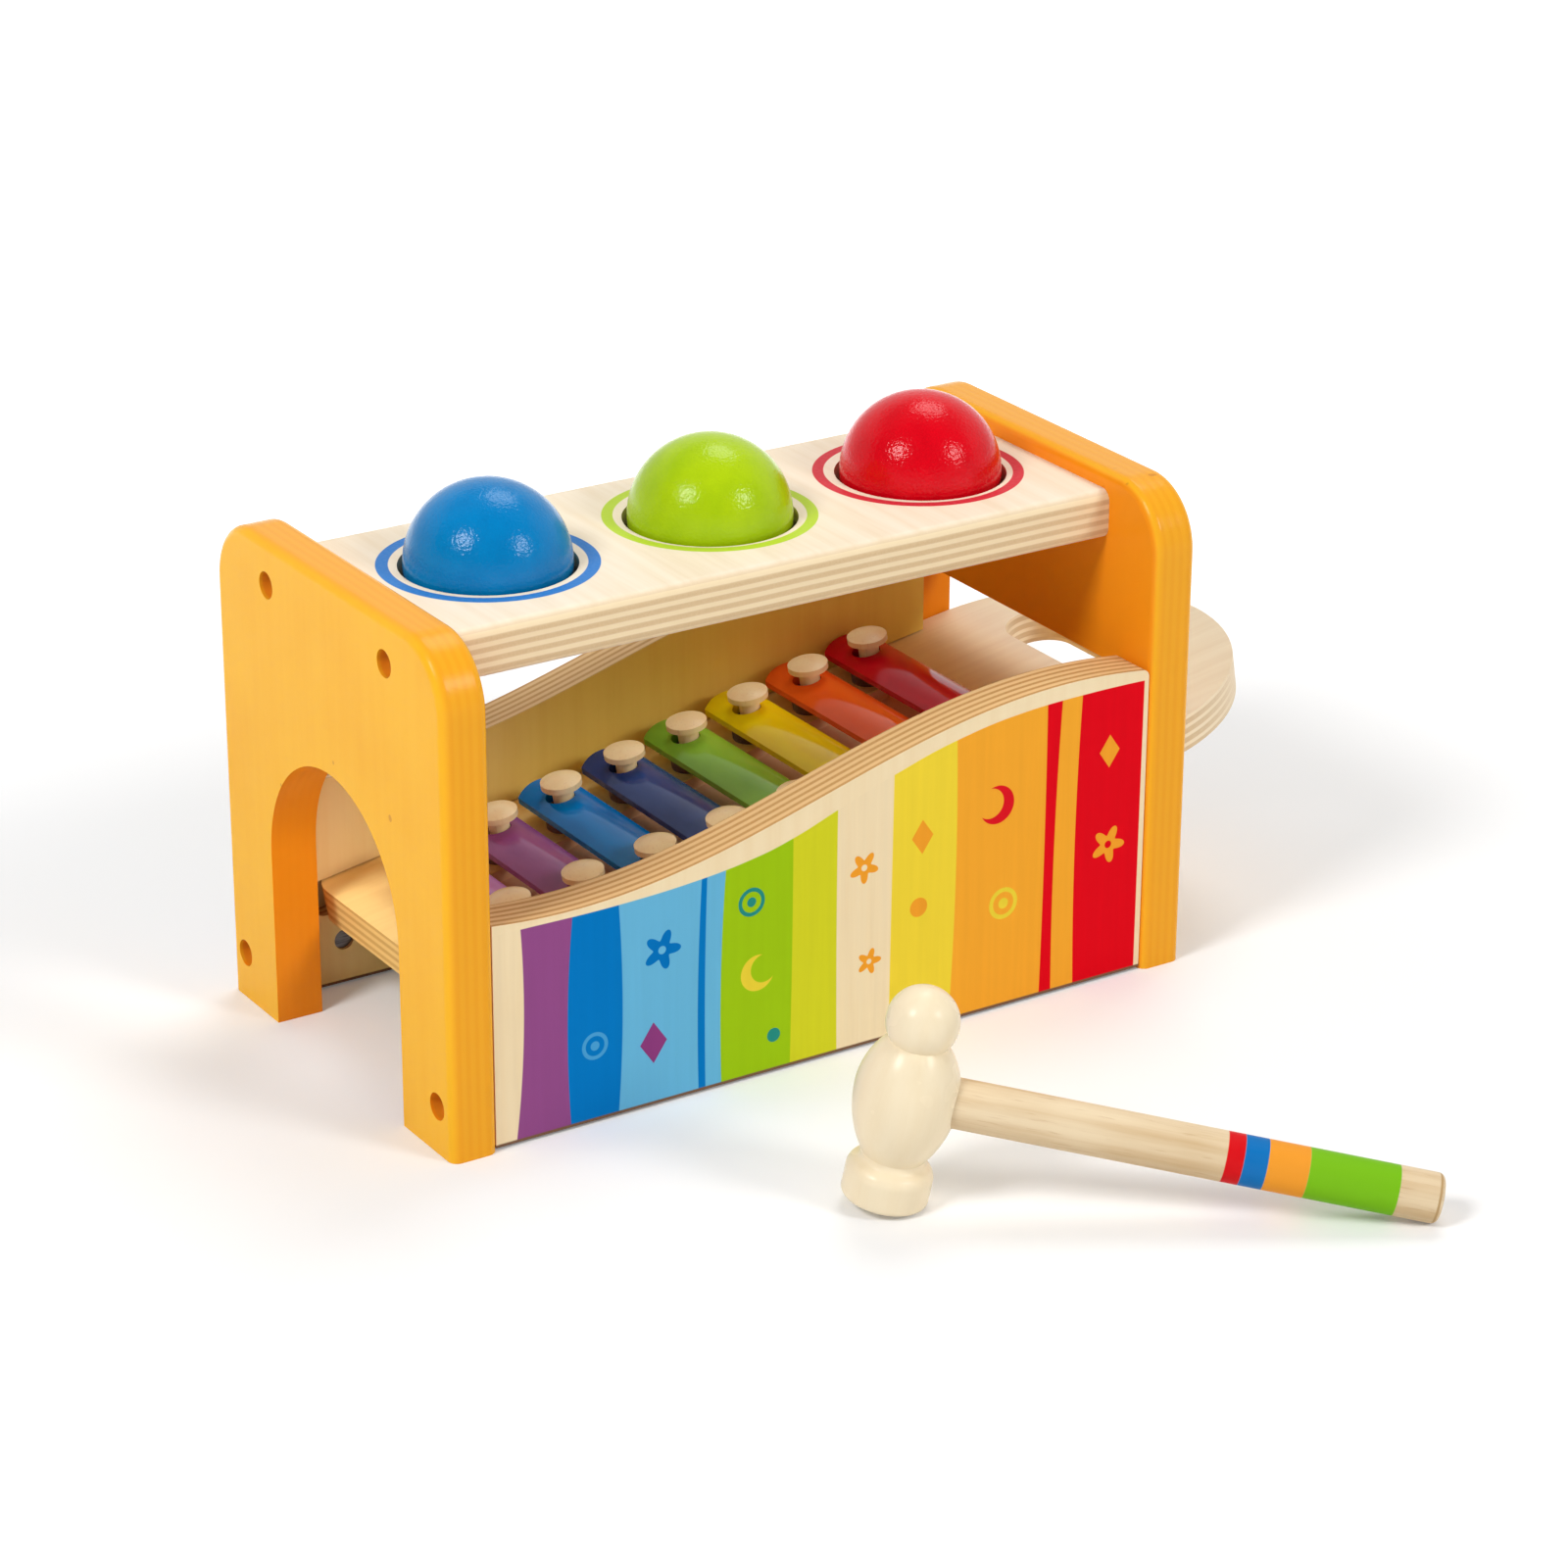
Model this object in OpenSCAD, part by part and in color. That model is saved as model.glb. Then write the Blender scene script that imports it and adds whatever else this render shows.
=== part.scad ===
// Ball pounding bench with a slide-out xylophone board and a turned hammer.
// Origin: on the table, midway between the two end panels and the two side panels.
// X runs along the bench towards the xylophone's pull end, Y to the back, Z up.

/* [Bench] */

// length over the outer faces of the end panels
bench_length = 250; // [220:1:290]
// width of the end panels
bench_width = 134; // [120:1:150]
// height of the end panels
bench_height = 151; // [138:1:180]

/* [End panels] */

// thickness of both end panels
end_thickness = 14.5; // [13:0.5:18]
// radius of the two top corners
end_corner_radius = 20; // [10:1:28]
// rounding of the long arrises
end_ease_radius = 3; // [1:0.5:5]
// width of the arch in the left panel
arch_width = 77; // [60:1:86]
// crown of the arch above the table
arch_height = 93; // [70:1:104]
// room above the pegs where they pass the window in the right panel
window_headroom = 4; // [2:0.5:8]

/* [Top board] */

// width of the board that holds the balls
top_width = 86.5; // [76:0.5:96]
// thickness of that board
top_thickness = 15; // [12:0.5:20]
// how far its face lies below the top of the end panels
top_drop = 5.5; // [3:0.5:10]
// rounding of its long edges
top_ease_radius = 3.5; // [1:0.5:6]
// distance of the outer ball holes' axes from the end panels
hole_end_gap = 37.5; // [33:0.5:42]

/* [Balls] */

// diameter of each ball
ball_diameter = 48; // [43:0.5:53]
// how much wider than its ball a hole is
hole_play = 3; // [2:0.25:4]
// thickness of the rubber grip ring in each hole
grip_cord = 4.4; // [3.5:0.1:5]
// depth of the grip ring below the face of the board
grip_depth = 9; // [8:0.25:10]
// height of a ball's centre above the face of the board
ball_rise = 0.5; // [0:0.1:2]

/* [Side panels] */

// thickness of the front and back panels
side_thickness = 14; // [12:0.5:16]
// set-back of the side panels from the edge of the end panels
side_setback = 1.5; // [0.5:0.25:4]
// gap between the side panels and the table
side_foot_gap = 0.8; // [0.5:0.1:4]
// height of the low point of the waved top edge
wave_low = 67.1; // [56:0.5:76]
// height of the high point of the waved top edge
wave_high = 98.7; // [90:0.5:110]
// distance of the low point from the left end panel
wave_low_inset = 23.2; // [10:0.2:40]
// distance of the high point from the right end panel
wave_high_inset = 26.8; // [10:0.2:40]
// rounding of the high top corner
side_corner_radius = 2.5; // [1:0.1:5]

/* [Xylophone board] */

// thickness of the sliding board
board_thickness = 11; // [9:0.5:13]
// slope of the board along the bench, in degrees
board_slope = 9.4; // [7:0.1:11]
// height of its upper face at the middle of the bench
board_height = 52.2; // [47:0.1:58]
// how deep its edges reach into the grooved side panels
groove_depth = 6.2; // [4:0.1:8]
// gap between its low end and the left end panel
board_end_gap = 6; // [5:0.25:9]
// how far its round end stands out past the right end panel
board_reach = 52.5; // [44:0.5:60]
// radius of its two low corners
board_corner_radius = 12; // [8:0.5:14]
// radius of the corners at the closed end of a groove
groove_round = 4; // [2:0.25:5]
// room between the low end of the board and the closed end of a groove
groove_room = 2.5; // [2:0.1:4]
// width of the hand slot, along the bench
slot_width = 21; // [16:0.5:26]
// length of the hand slot, across the bench
slot_length = 75; // [56:1:86]
// distance of the hand slot's middle from the round end
slot_inset = 40.5; // [34:0.5:46]
// depth of the sound trough under the bars
trough_depth = 4; // [3:0.25:7]

/* [Tone bars] */

// distance between neighbouring bars
bar_pitch = 23.25; // [20:0.05:25.5]
// width of every bar
bar_width = 17; // [14:0.25:19]
// length of the shortest bar
bar_short = 74; // [64:0.2:82]
// gap between the longest bar and the side panels
bar_end_gap = 0.8; // [0.6:0.1:4]
// thickness of a bar along its edges
bar_edge = 2; // [1.5:0.1:3]
// extra height of the crowned middle
bar_crown = 1.4; // [0.8:0.1:2.4]
// distance of the first pair of pegs from the low end of the board
bar_start = 26; // [22:0.2:32]
// how far the bowed ends of a bar stand out past its corners
bar_bow = 3.2; // [1:0.1:6]

/* [Pegs and felts] */

// distance of a peg from the end of its bar
peg_inset = 14; // [12:0.1:16]
// diameter of a peg's head
peg_head = 12.4; // [10:0.1:14]
// diameter of a peg's neck
peg_neck = 6.4; // [5:0.1:7]
// height of a peg above the board
peg_rise = 15.9; // [14:0.1:17.5]
// height of a peg's head
peg_head_height = 4.2; // [3.6:0.1:5]
// depth of a peg's foot in the board
peg_foot = 7; // [5:0.25:8]
// free play of a bar round its peg
peg_play = 2.4; // [1.5:0.1:4]
// thickness of a felt cushion
felt_thickness = 6.4; // [5:0.1:7]
// diameter of a felt cushion
felt_diameter = 13; // [11:0.25:15]

/* [Hammer] */

// diameter of the handle
handle_diameter = 14; // [12:0.25:16]
// distance from the free end of the handle to the axis of the head
handle_length = 146.7; // [130:0.5:165]
// depth of the handle's tenon past the axis of the head
handle_tenon = 6; // [4:0.25:8]
// radius of the striking disc
disc_radius = 12.1; // [11:0.1:14]
// thickness of the striking disc
disc_thickness = 11.8; // [10:0.1:14]
// distance from the handle's axis down to the striking face
head_drop = 31.9; // [30:0.1:36]
// greatest radius of the barrel-shaped middle
barrel_radius = 14.5; // [13:0.1:16]
// radius of the waist above the striking disc
waist_radius = 8.8; // [7.8:0.1:9.6]
// radius of the neck under the ball
neck_radius = 8; // [7.2:0.1:9]
// radius of the ball that ends the head
crown_radius = 10.1; // [9:0.1:11]
// distance from the handle's axis up to the middle of that ball
crown_rise = 21.9; // [20.5:0.1:24]
// rounding of the striking disc's lower rim
disc_edge = 1.5; // [0.5:0.1:3]
// rounding of the striking disc's upper rim
disc_shoulder = 4; // [2:0.1:5]
// radius of the cove between that rim and the waist
disc_cove = 2.5; // [1.5:0.1:4]
// rounding of the handle's free end
handle_edge = 2; // [0.5:0.1:4]
// place of the head along the bench
hammer_x = -31.5; // [-60:0.5:0]
// place of the head across the bench
hammer_y = -150.7; // [-190:0.5:-125]
// direction of the handle, turned from the bench's length
hammer_turn = -36.1; // [-60:0.5:-10]

/* [Fasteners] */

// diameter of the counterbores in the end panels
bore_diameter = 8; // [7:0.1:10]
// depth of the counterbores
bore_depth = 8; // [6:0.25:10]
// diameter of a screw's or bolt's head
bolt_head = 7; // [6:0.1:7.6]
// height of a screw's or bolt's head
bolt_head_height = 4; // [3:0.1:5]
// diameter of a screw's or bolt's shank
bolt_shank = 4; // [3:0.1:5]
// distance of the top screws from the middle of the bench
screw_offset = 35; // [28:0.5:38]
// height of the bolts above the table
bolt_height = 14.7; // [12:0.25:18]
// depth of the top screws in the top board
screw_bite = 20; // [14:0.5:26]
// length of a bolt past the axis of its barrel nut
bolt_tail = 6; // [4:0.25:8]
// free depth of a bore past the tip of its screw or bolt
tip_room = 1; // [0.5:0.1:3]
// distance of a barrel nut from the end of its side panel
nut_inset = 14.5; // [12:0.25:18]
// wood left between a barrel nut and the outer face of its panel
nut_cover = 2; // [1.5:0.1:4]
// depth of a barrel nut's end below the inner face of its panel
nut_recess = 1; // [0.5:0.1:2]
// diameter of a barrel nut
nut_diameter = 6.3; // [5.8:0.1:8]
// diameter of a locating dowel
dowel_diameter = 8; // [6:0.25:9]
// length of a locating dowel
dowel_length = 30; // [24:0.5:34]
// depth of a locating dowel in its end panel
dowel_in_end = 10; // [8:0.25:11]
// wood left between a locating dowel and the groove
dowel_cover = 3; // [2:0.1:6]

/* [Hidden] */

$fn = 64;
// free gap between pieces that slide on one another
run = 0.35;
// free gap between pieces that are glued or screwed together
glue = 0.05;
// cutters stand out by this much
over = 1;

inner_x = bench_length / 2 - end_thickness;
side_outer = bench_width / 2 - side_setback;
side_inner = side_outer - side_thickness;
side_middle = side_outer - side_thickness / 2;
top_z = bench_height - top_drop;
screw_height = top_z - top_thickness / 2;

hole_pitch = inner_x - hole_end_gap;
hole_radius = ball_diameter / 2 + hole_play / 2;
grip_reach = ball_diameter / 2 + grip_cord / 2 + 0.3;
grip_level = grip_depth + ball_rise;
grip_radius = sqrt(grip_reach * grip_reach - grip_level * grip_level);

slope_x = cos(board_slope);
slope_z = sin(board_slope);
board_half = side_inner + groove_depth - run;
board_low = -(inner_x - board_end_gap) / slope_x;
board_high = (bench_length / 2 + board_reach) / slope_x;
groove_end = board_low - groove_room;
groove_bottom = board_height - (board_thickness + run) / slope_x;
groove_top = board_height + run / slope_x;
window_half = board_half + 2 * run;
window_bottom = groove_bottom + inner_x * tan(board_slope) - run;
window_top = board_height + bench_length / 2 * tan(board_slope) + peg_rise / slope_x + window_headroom;

bar_count = 8;
bar_long = 2 * (side_inner - bar_end_gap);
bar_step = (bar_long - bar_short) / (bar_count - 1);
// the bars lie down the slope until their holes meet the pegs
bar_slip = peg_play / 2 - 0.15;

wave_low_x = -inner_x + wave_low_inset;
wave_high_x = inner_x - wave_high_inset;
wave_middle = (wave_low + wave_high) / 2;
wave_swing = (wave_high - wave_low) / 2;

bolt_tip = -inner_x + nut_inset + bolt_tail;
dowel_in_side = dowel_length - dowel_in_end;
dowel_lift = (inner_x - dowel_in_side) * tan(board_slope);
dowel_left_z = groove_top - dowel_lift + dowel_diameter / 2 + dowel_cover;
dowel_right_z = groove_bottom + dowel_lift - dowel_diameter / 2 - dowel_cover;

lean_run = handle_length - handle_edge - disc_radius + disc_edge;
lean_rise = head_drop - disc_edge - handle_diameter / 2 + handle_edge;
lean_turn = asin((disc_edge - handle_edge) / sqrt(lean_run * lean_run + lean_rise * lean_rise));
hammer_lean = atan2(lean_rise, lean_run) + lean_turn;
rim_drop = (disc_radius - disc_edge) * sin(hammer_lean) + (head_drop - disc_edge) * cos(hammer_lean);
hammer_z = disc_edge + rim_drop;

orange_paint = [0.96, 0.68, 0.25];
birch = [0.93, 0.84, 0.70];
steel = [0.70, 0.71, 0.73];
cream = [0.94, 0.87, 0.72];
bar_paint = [
    [0.76, 0.55, 0.74],
    [0.55, 0.35, 0.55],
    [0.08, 0.37, 0.60],
    [0.20, 0.27, 0.47],
    [0.43, 0.59, 0.18],
    [0.80, 0.67, 0.05],
    [0.80, 0.36, 0.10],
    [0.62, 0.09, 0.12]
];

function bar_place(i) = board_low + bar_start + i * bar_pitch;
function bar_half(i) = (bar_short + i * bar_step) / 2;
function peg_place(i) = bar_half(i) - peg_inset;
function wave_turn(x) = 180 * (x - wave_low_x) / (wave_high_x - wave_low_x);
function wave_z(x) = wave_middle - wave_swing * cos(wave_turn(x));

// frame of the sloping board: X down its length, Z out of its upper face
module on_slope() {
    translate([0, 0, board_height])
        rotate([0, -board_slope, 0])
            children();
}

// frame of the hammer: X along the handle to its free end, Z up the head
module on_hammer() {
    translate([hammer_x, hammer_y, hammer_z])
        rotate([0, 0, hammer_turn])
            rotate([0, hammer_lean, 0])
                children();
}

// cylinder lying along X from x0 to x1
module rod_x(x0, x1, diameter) {
    translate([x0, 0, 0])
        rotate([0, 90, 0])
            cylinder(h = x1 - x0, d = diameter);
}

// cylinder lying along Y from y0 to y1
module rod_y(y0, y1, diameter) {
    translate([0, y0, 0])
        rotate([-90, 0, 0])
            cylinder(h = y1 - y0, d = diameter);
}

// section of a panel's rounded margin, reaching out along X, thickness along Y
module eased_margin(reach, thickness, ease) {
    square([reach - ease, thickness]);
    translate([0, ease])
        square([reach, thickness - 2 * ease]);
    translate([reach - ease, ease])
        circle(r = ease);
    translate([reach - ease, thickness - ease])
        circle(r = ease);
}

// upright panel standing on z = 0, its thickness along +X from x = 0
module eased_panel() {
    r = end_corner_radius;
    half = bench_width / 2 - r;
    rise = bench_height - r;
    translate([0, -half, 0])
        cube([end_thickness, 2 * half, rise]);
    for (side = [0, 1])
        mirror([0, side, 0]) {
            translate([0, half, 0])
                linear_extrude(rise)
                    rotate(90)
                        mirror([0, 1, 0])
                            eased_margin(r, end_thickness, end_ease_radius);
            translate([0, half, rise])
                rotate([0, 90, 0])
                    rotate([0, 0, 90])
                        rotate_extrude(angle = 90)
                            eased_margin(r, end_thickness, end_ease_radius);
        }
    translate([0, half, rise])
        rotate([90, 0, 0])
            linear_extrude(2 * half)
                rotate(90)
                    mirror([0, 1, 0])
                        eased_margin(r, end_thickness, end_ease_radius);
}

// stepped bores for the screws and bolts of one end panel, outer face at x = 0
module end_bores(dowel_z) {
    for (y = [-1, 1]) {
        for (spot = [[screw_offset, screw_height], [side_middle, bolt_height]])
            translate([0, y * spot[0], spot[1]]) {
                rod_x(-over, bore_depth, bore_diameter);
                rod_x(0, end_thickness + over, bolt_shank + 2 * glue);
            }
        translate([0, y * side_middle, dowel_z])
            rod_x(end_thickness - dowel_in_end - glue, end_thickness + over, dowel_diameter + 2 * glue);
    }
}

module left_end_panel() {
    spring = arch_height - arch_width / 2;
    color(orange_paint)
        translate([-bench_length / 2, 0, 0])
            difference() {
                eased_panel();
                end_bores(dowel_left_z);
                translate([-over, -arch_width / 2, -over])
                    cube([end_thickness + 2 * over, arch_width, spring + over]);
                translate([0, 0, spring])
                    rod_x(-over, end_thickness + over, arch_width);
            }
}

module right_end_panel() {
    color(orange_paint)
        translate([bench_length / 2, 0, 0])
            mirror([1, 0, 0])
                difference() {
                    eased_panel();
                    end_bores(dowel_right_z);
                    translate([-over, -window_half, window_bottom])
                        cube([end_thickness + 2 * over, 2 * window_half, window_top - window_bottom]);
                }
}

// hole for one ball, with the seat of its grip ring
module ball_hole() {
    translate([0, 0, top_z - top_thickness - over])
        cylinder(h = top_thickness + 2 * over, r = hole_radius);
    translate([0, 0, top_z - grip_depth])
        rotate_extrude()
            translate([grip_radius, 0])
                circle(d = grip_cord + 2 * glue);
}

module top_board() {
    r = top_ease_radius;
    color(birch)
        difference() {
            translate([-inner_x, 0, top_z - top_thickness / 2])
                rotate([90, 0, 90])
                    linear_extrude(2 * inner_x) {
                        square([top_width - 2 * r, top_thickness], center = true);
                        square([top_width, top_thickness - 2 * r], center = true);
                        for (y = [-1, 1], z = [-1, 1])
                            translate([y * (top_width / 2 - r), z * (top_thickness / 2 - r)])
                                circle(r = r);
                    }
            for (i = [-1, 0, 1])
                translate([i * hole_pitch, 0, 0])
                    ball_hole();
            for (end = [0, 1], y = [-1, 1])
                mirror([end, 0, 0])
                    translate([0, y * screw_offset, screw_height])
                        rod_x(-inner_x - over, -inner_x + screw_bite + tip_room, bolt_shank + 2 * glue);
        }
}

// groove that carries one edge of the sloping board
module slide_groove() {
    depth = groove_depth;
    height = board_thickness + 2 * run;
    round = groove_round;
    on_slope()
        translate([0, side_inner - over, -board_thickness - run]) {
            translate([groove_end + round, 0, 0])
                cube([board_high - groove_end, depth + over, height]);
            translate([groove_end, 0, round])
                cube([2 * round, depth + over, height - 2 * round]);
            for (z = [round, height - round])
                translate([groove_end + round, 0, z])
                    rod_y(0, depth + over, 2 * round);
        }
}

module back_panel() {
    steps = 48;
    r = side_corner_radius;
    high = wave_z(inner_x - r) - r;
    corner = [for (a = [0 : 15 : 75]) [inner_x - r + r * cos(a), high + r * sin(a)]];
    crest = [for (i = [0 : steps]) inner_x - r - (2 * inner_x - r) * i / steps];
    color(birch)
        difference() {
            translate([0, side_outer, 0])
                rotate([90, 0, 0])
                    linear_extrude(side_thickness)
                        polygon(concat(
                            [[-inner_x, side_foot_gap], [inner_x, side_foot_gap]],
                            corner,
                            [for (x = crest) [x, wave_z(x)]]
                        ));
            slide_groove();
            for (side = [-1, 1]) {
                translate([side * (inner_x - nut_inset), 0, bolt_height])
                    rod_y(side_inner - over, side_outer - nut_cover, nut_diameter + 2 * glue);
                translate([0, side_middle, bolt_height])
                    mirror([side > 0 ? 1 : 0, 0, 0])
                        rod_x(-inner_x - over, bolt_tip + tip_room, bolt_shank + 2 * glue);
                translate([0, side_middle, side < 0 ? dowel_left_z : dowel_right_z])
                    mirror([side > 0 ? 1 : 0, 0, 0])
                        rod_x(-inner_x - over, -inner_x + dowel_in_side + glue, dowel_diameter + 2 * glue);
            }
        }
}

module front_panel() {
    mirror([0, 1, 0])
        back_panel();
}

module xylophone_board() {
    r = board_corner_radius;
    first = bar_place(0) - bar_width / 2;
    last = bar_place(bar_count - 1) + bar_width / 2;
    seat = max(peg_neck, felt_diameter) / 2 + 0.5;
    color(birch)
        on_slope()
            difference() {
                translate([0, 0, -board_thickness])
                    linear_extrude(board_thickness) {
                        translate([board_low + r, -board_half])
                            square([board_high - board_half - board_low - r, 2 * board_half]);
                        translate([board_low, r - board_half])
                            square([2 * r, 2 * (board_half - r)]);
                        for (y = [-1, 1])
                            translate([board_low + r, y * (board_half - r)])
                                circle(r = r);
                        translate([board_high - board_half, 0])
                            circle(r = board_half);
                    }
                translate([board_high - slot_inset, 0, -board_thickness - over]) {
                    translate([-slot_width / 2, -(slot_length - slot_width) / 2, 0])
                        cube([slot_width, slot_length - slot_width, board_thickness + 2 * over]);
                    for (y = [-1, 1])
                        translate([0, y * (slot_length - slot_width) / 2, 0])
                            cylinder(h = board_thickness + 2 * over, d = slot_width);
                }
                translate([0, 0, -trough_depth])
                    linear_extrude(trough_depth + over)
                        polygon([
                            [first, seat - peg_place(0)],
                            [last, seat - peg_place(bar_count - 1)],
                            [last, peg_place(bar_count - 1) - seat],
                            [first, peg_place(0) - seat]
                        ]);
                for (i = [0 : bar_count - 1], y = [-1, 1])
                    translate([bar_place(i), y * peg_place(i), -peg_foot - glue])
                        cylinder(h = peg_foot + over, d = peg_neck + 2 * glue);
            }
}

// bar number i: flat below, crowned above, bowed ends, two free holes
module tone_bar(i) {
    half = bar_half(i);
    chord = bar_width / 2;
    height = bar_edge + bar_crown;
    bend = (chord * chord + bar_crown * bar_crown) / (2 * bar_crown);
    bow = (chord * chord + bar_bow * bar_bow) / (2 * bar_bow);
    color(bar_paint[i])
        on_slope()
            translate([bar_place(i) - bar_slip, 0, felt_thickness])
                difference() {
                    intersection() {
                        linear_extrude(height + over) {
                            square([bar_width, 2 * (half - bar_bow)], center = true);
                            for (side = [0, 1])
                                mirror([0, side])
                                    intersection() {
                                        translate([-chord, half - bar_bow - 1])
                                            square([bar_width, bar_bow + 1]);
                                        translate([0, half - bow])
                                            circle(r = bow, $fn = 120);
                                    }
                        }
                        translate([0, half + over, 0])
                            rotate([90, 0, 0])
                                linear_extrude(2 * (half + over))
                                    intersection() {
                                        translate([-bar_width, 0])
                                            square([2 * bar_width, height]);
                                        translate([0, height - bend])
                                            circle(r = bend, $fn = 180);
                                    }
                    }
                    for (y = [-1, 1])
                        translate([0, y * peg_place(i), -over])
                            cylinder(h = height + 2 * over, d = peg_neck + peg_play);
                }
}

// peg standing on z = 0 with its foot below
module peg() {
    head = peg_head / 2;
    neck = peg_neck / 2;
    base = peg_rise - peg_head_height;
    rim = base + 0.3 * peg_head_height;
    dome = 0.28 * peg_head_height;
    bend = (head * head + dome * dome) / (2 * dome);
    rotate_extrude() {
        translate([0, -peg_foot])
            square([neck, peg_foot + base + 1]);
        polygon([[0, base], [neck, base], [head, rim], [0, rim]]);
        translate([0, rim - 0.01])
            square([head, peg_rise - dome - rim + 0.01]);
        intersection() {
            translate([0, peg_rise - dome - 0.01])
                square([head, dome + 0.01]);
            translate([0, peg_rise - bend])
                circle(r = bend, $fn = 96);
        }
    }
}

module peg_row(side) {
    color(cream)
        on_slope()
            for (i = [0 : bar_count - 1])
                translate([bar_place(i), side * peg_place(i), 0])
                    peg();
}

module felt_cushions() {
    color([0.30, 0.22, 0.18])
        on_slope()
            for (i = [0 : bar_count - 1], y = [-1, 1])
                translate([bar_place(i), y * peg_place(i), 0])
                    difference() {
                        cylinder(h = felt_thickness, d = felt_diameter);
                        translate([0, 0, -over])
                            cylinder(h = felt_thickness + 2 * over, d = peg_neck + 2 * glue);
                    }
}

module ball(place, paint) {
    color(paint)
        translate([place * hole_pitch, 0, top_z + ball_rise])
            sphere(d = ball_diameter);
}

module grip_ring(place) {
    color([0.16, 0.16, 0.17])
        translate([place * hole_pitch, 0, top_z - grip_depth])
            rotate_extrude()
                translate([grip_radius, 0])
                    circle(d = grip_cord);
}

module hammer_head() {
    disc_top = disc_thickness - head_drop;
    shoulder_x = disc_radius - disc_shoulder;
    shoulder_z = disc_top - disc_shoulder;
    cove_x = waist_radius + disc_cove;
    cove_reach = disc_shoulder + disc_cove;
    cove_z = shoulder_z + sqrt(cove_reach * cove_reach - (cove_x - shoulder_x) * (cove_x - shoulder_x));
    neck_z = crown_rise - sqrt(crown_radius * crown_radius - neck_radius * neck_radius) + 0.5;
    low_swell = barrel_radius - waist_radius;
    high_swell = barrel_radius - neck_radius;
    low_bend = (cove_z * cove_z + low_swell * low_swell) / (2 * low_swell);
    high_bend = (neck_z * neck_z + high_swell * high_swell) / (2 * high_swell);
    color(cream)
        on_hammer()
            difference() {
                rotate_extrude() {
                    translate([0, -head_drop])
                        square([disc_radius - disc_edge, disc_thickness - disc_shoulder]);
                    translate([0, disc_edge - head_drop])
                        square([disc_radius, disc_thickness - disc_edge - disc_shoulder]);
                    translate([disc_radius - disc_edge, disc_edge - head_drop])
                        circle(r = disc_edge);
                    translate([shoulder_x, shoulder_z])
                        circle(r = disc_shoulder);
                    difference() {
                        polygon([[0, shoulder_z], [shoulder_x, shoulder_z], [cove_x, cove_z], [0, cove_z]]);
                        translate([cove_x, cove_z])
                            circle(r = disc_cove);
                    }
                    intersection() {
                        translate([0, cove_z - 0.01])
                            square([barrel_radius, 0.02 - cove_z]);
                        translate([barrel_radius - low_bend, 0])
                            circle(r = low_bend, $fn = 120);
                    }
                    intersection() {
                        square([barrel_radius, neck_z]);
                        translate([barrel_radius - high_bend, 0])
                            circle(r = high_bend, $fn = 120);
                    }
                    intersection() {
                        translate([0, neck_z - 1])
                            square([crown_radius, 2 * crown_radius + crown_rise]);
                        translate([0, crown_rise])
                            circle(r = crown_radius);
                    }
                }
                rod_x(-handle_tenon - glue, 2 * barrel_radius, handle_diameter + 2 * glue);
            }
}

module hammer_handle() {
    r = handle_diameter / 2;
    color([0.90, 0.80, 0.62])
        on_hammer()
            translate([-handle_tenon, 0, 0])
                rotate([0, 90, 0])
                    rotate_extrude() {
                        square([r, handle_length + handle_tenon - handle_edge]);
                        square([r - handle_edge, handle_length + handle_tenon]);
                        translate([r - handle_edge, handle_length + handle_tenon - handle_edge])
                            circle(r = handle_edge);
                    }
}

// screw or bolt whose head sits at the bottom of a counterbore, outer face at x = 0
module screw(reach) {
    head_top = bore_depth - bolt_head_height;
    difference() {
        union() {
            rod_x(head_top, bore_depth, bolt_head);
            rod_x(bore_depth - 1, reach, bolt_shank);
        }
        rod_x(head_top - over, head_top + bolt_head_height / 2, bolt_head / 2, $fn = 6);
    }
}

module at_four_corners(offset_y, level) {
    for (end = [0, 1], y = [-1, 1])
        mirror([end, 0, 0])
            translate([-bench_length / 2, y * offset_y, level])
                children();
}

module top_board_screws() {
    color(steel)
        at_four_corners(screw_offset, screw_height)
            screw(end_thickness + screw_bite);
}

module side_panel_bolts() {
    color(steel)
        at_four_corners(side_middle, bolt_height)
            screw(end_thickness + nut_inset + bolt_tail);
}

module barrel_nuts() {
    color(steel)
        for (x = [-1, 1], y = [0, 1])
            mirror([0, y, 0])
                translate([x * (inner_x - nut_inset), 0, bolt_height])
                    difference() {
                        rod_y(side_inner + nut_recess, side_outer - nut_cover - glue, nut_diameter);
                        translate([0, side_middle, 0])
                            rod_x(-nut_diameter, nut_diameter, bolt_shank + 2 * glue);
                    }
}

module locating_dowels() {
    color(birch)
        for (end = [-1, 1], y = [-1, 1])
            translate([0, y * side_middle, end < 0 ? dowel_left_z : dowel_right_z])
                mirror([end > 0 ? 1 : 0, 0, 0])
                    rod_x(-inner_x - dowel_in_end, -inner_x + dowel_in_side, dowel_diameter);
}

left_end_panel();
right_end_panel();
top_board();
front_panel();
back_panel();
xylophone_board();
tone_bar(0);  // tone_bar_lilac
tone_bar(1);  // tone_bar_purple
tone_bar(2);  // tone_bar_blue
tone_bar(3);  // tone_bar_navy
tone_bar(4);  // tone_bar_green
tone_bar(5);  // tone_bar_yellow
tone_bar(6);  // tone_bar_orange
tone_bar(7);  // tone_bar_red
peg_row(1);  // back_row_pegs
peg_row(-1);  // front_row_pegs
felt_cushions();
ball(-1, [0.00, 0.48, 0.74]);  // ball_blue
ball(0, [0.60, 0.77, 0.10]);  // ball_green
ball(1, [0.86, 0.04, 0.12]);  // ball_red
grip_ring(-1);  // grip_ring_blue
grip_ring(0);  // grip_ring_green
grip_ring(1);  // grip_ring_red
hammer_head();
hammer_handle();
top_board_screws();
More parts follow.
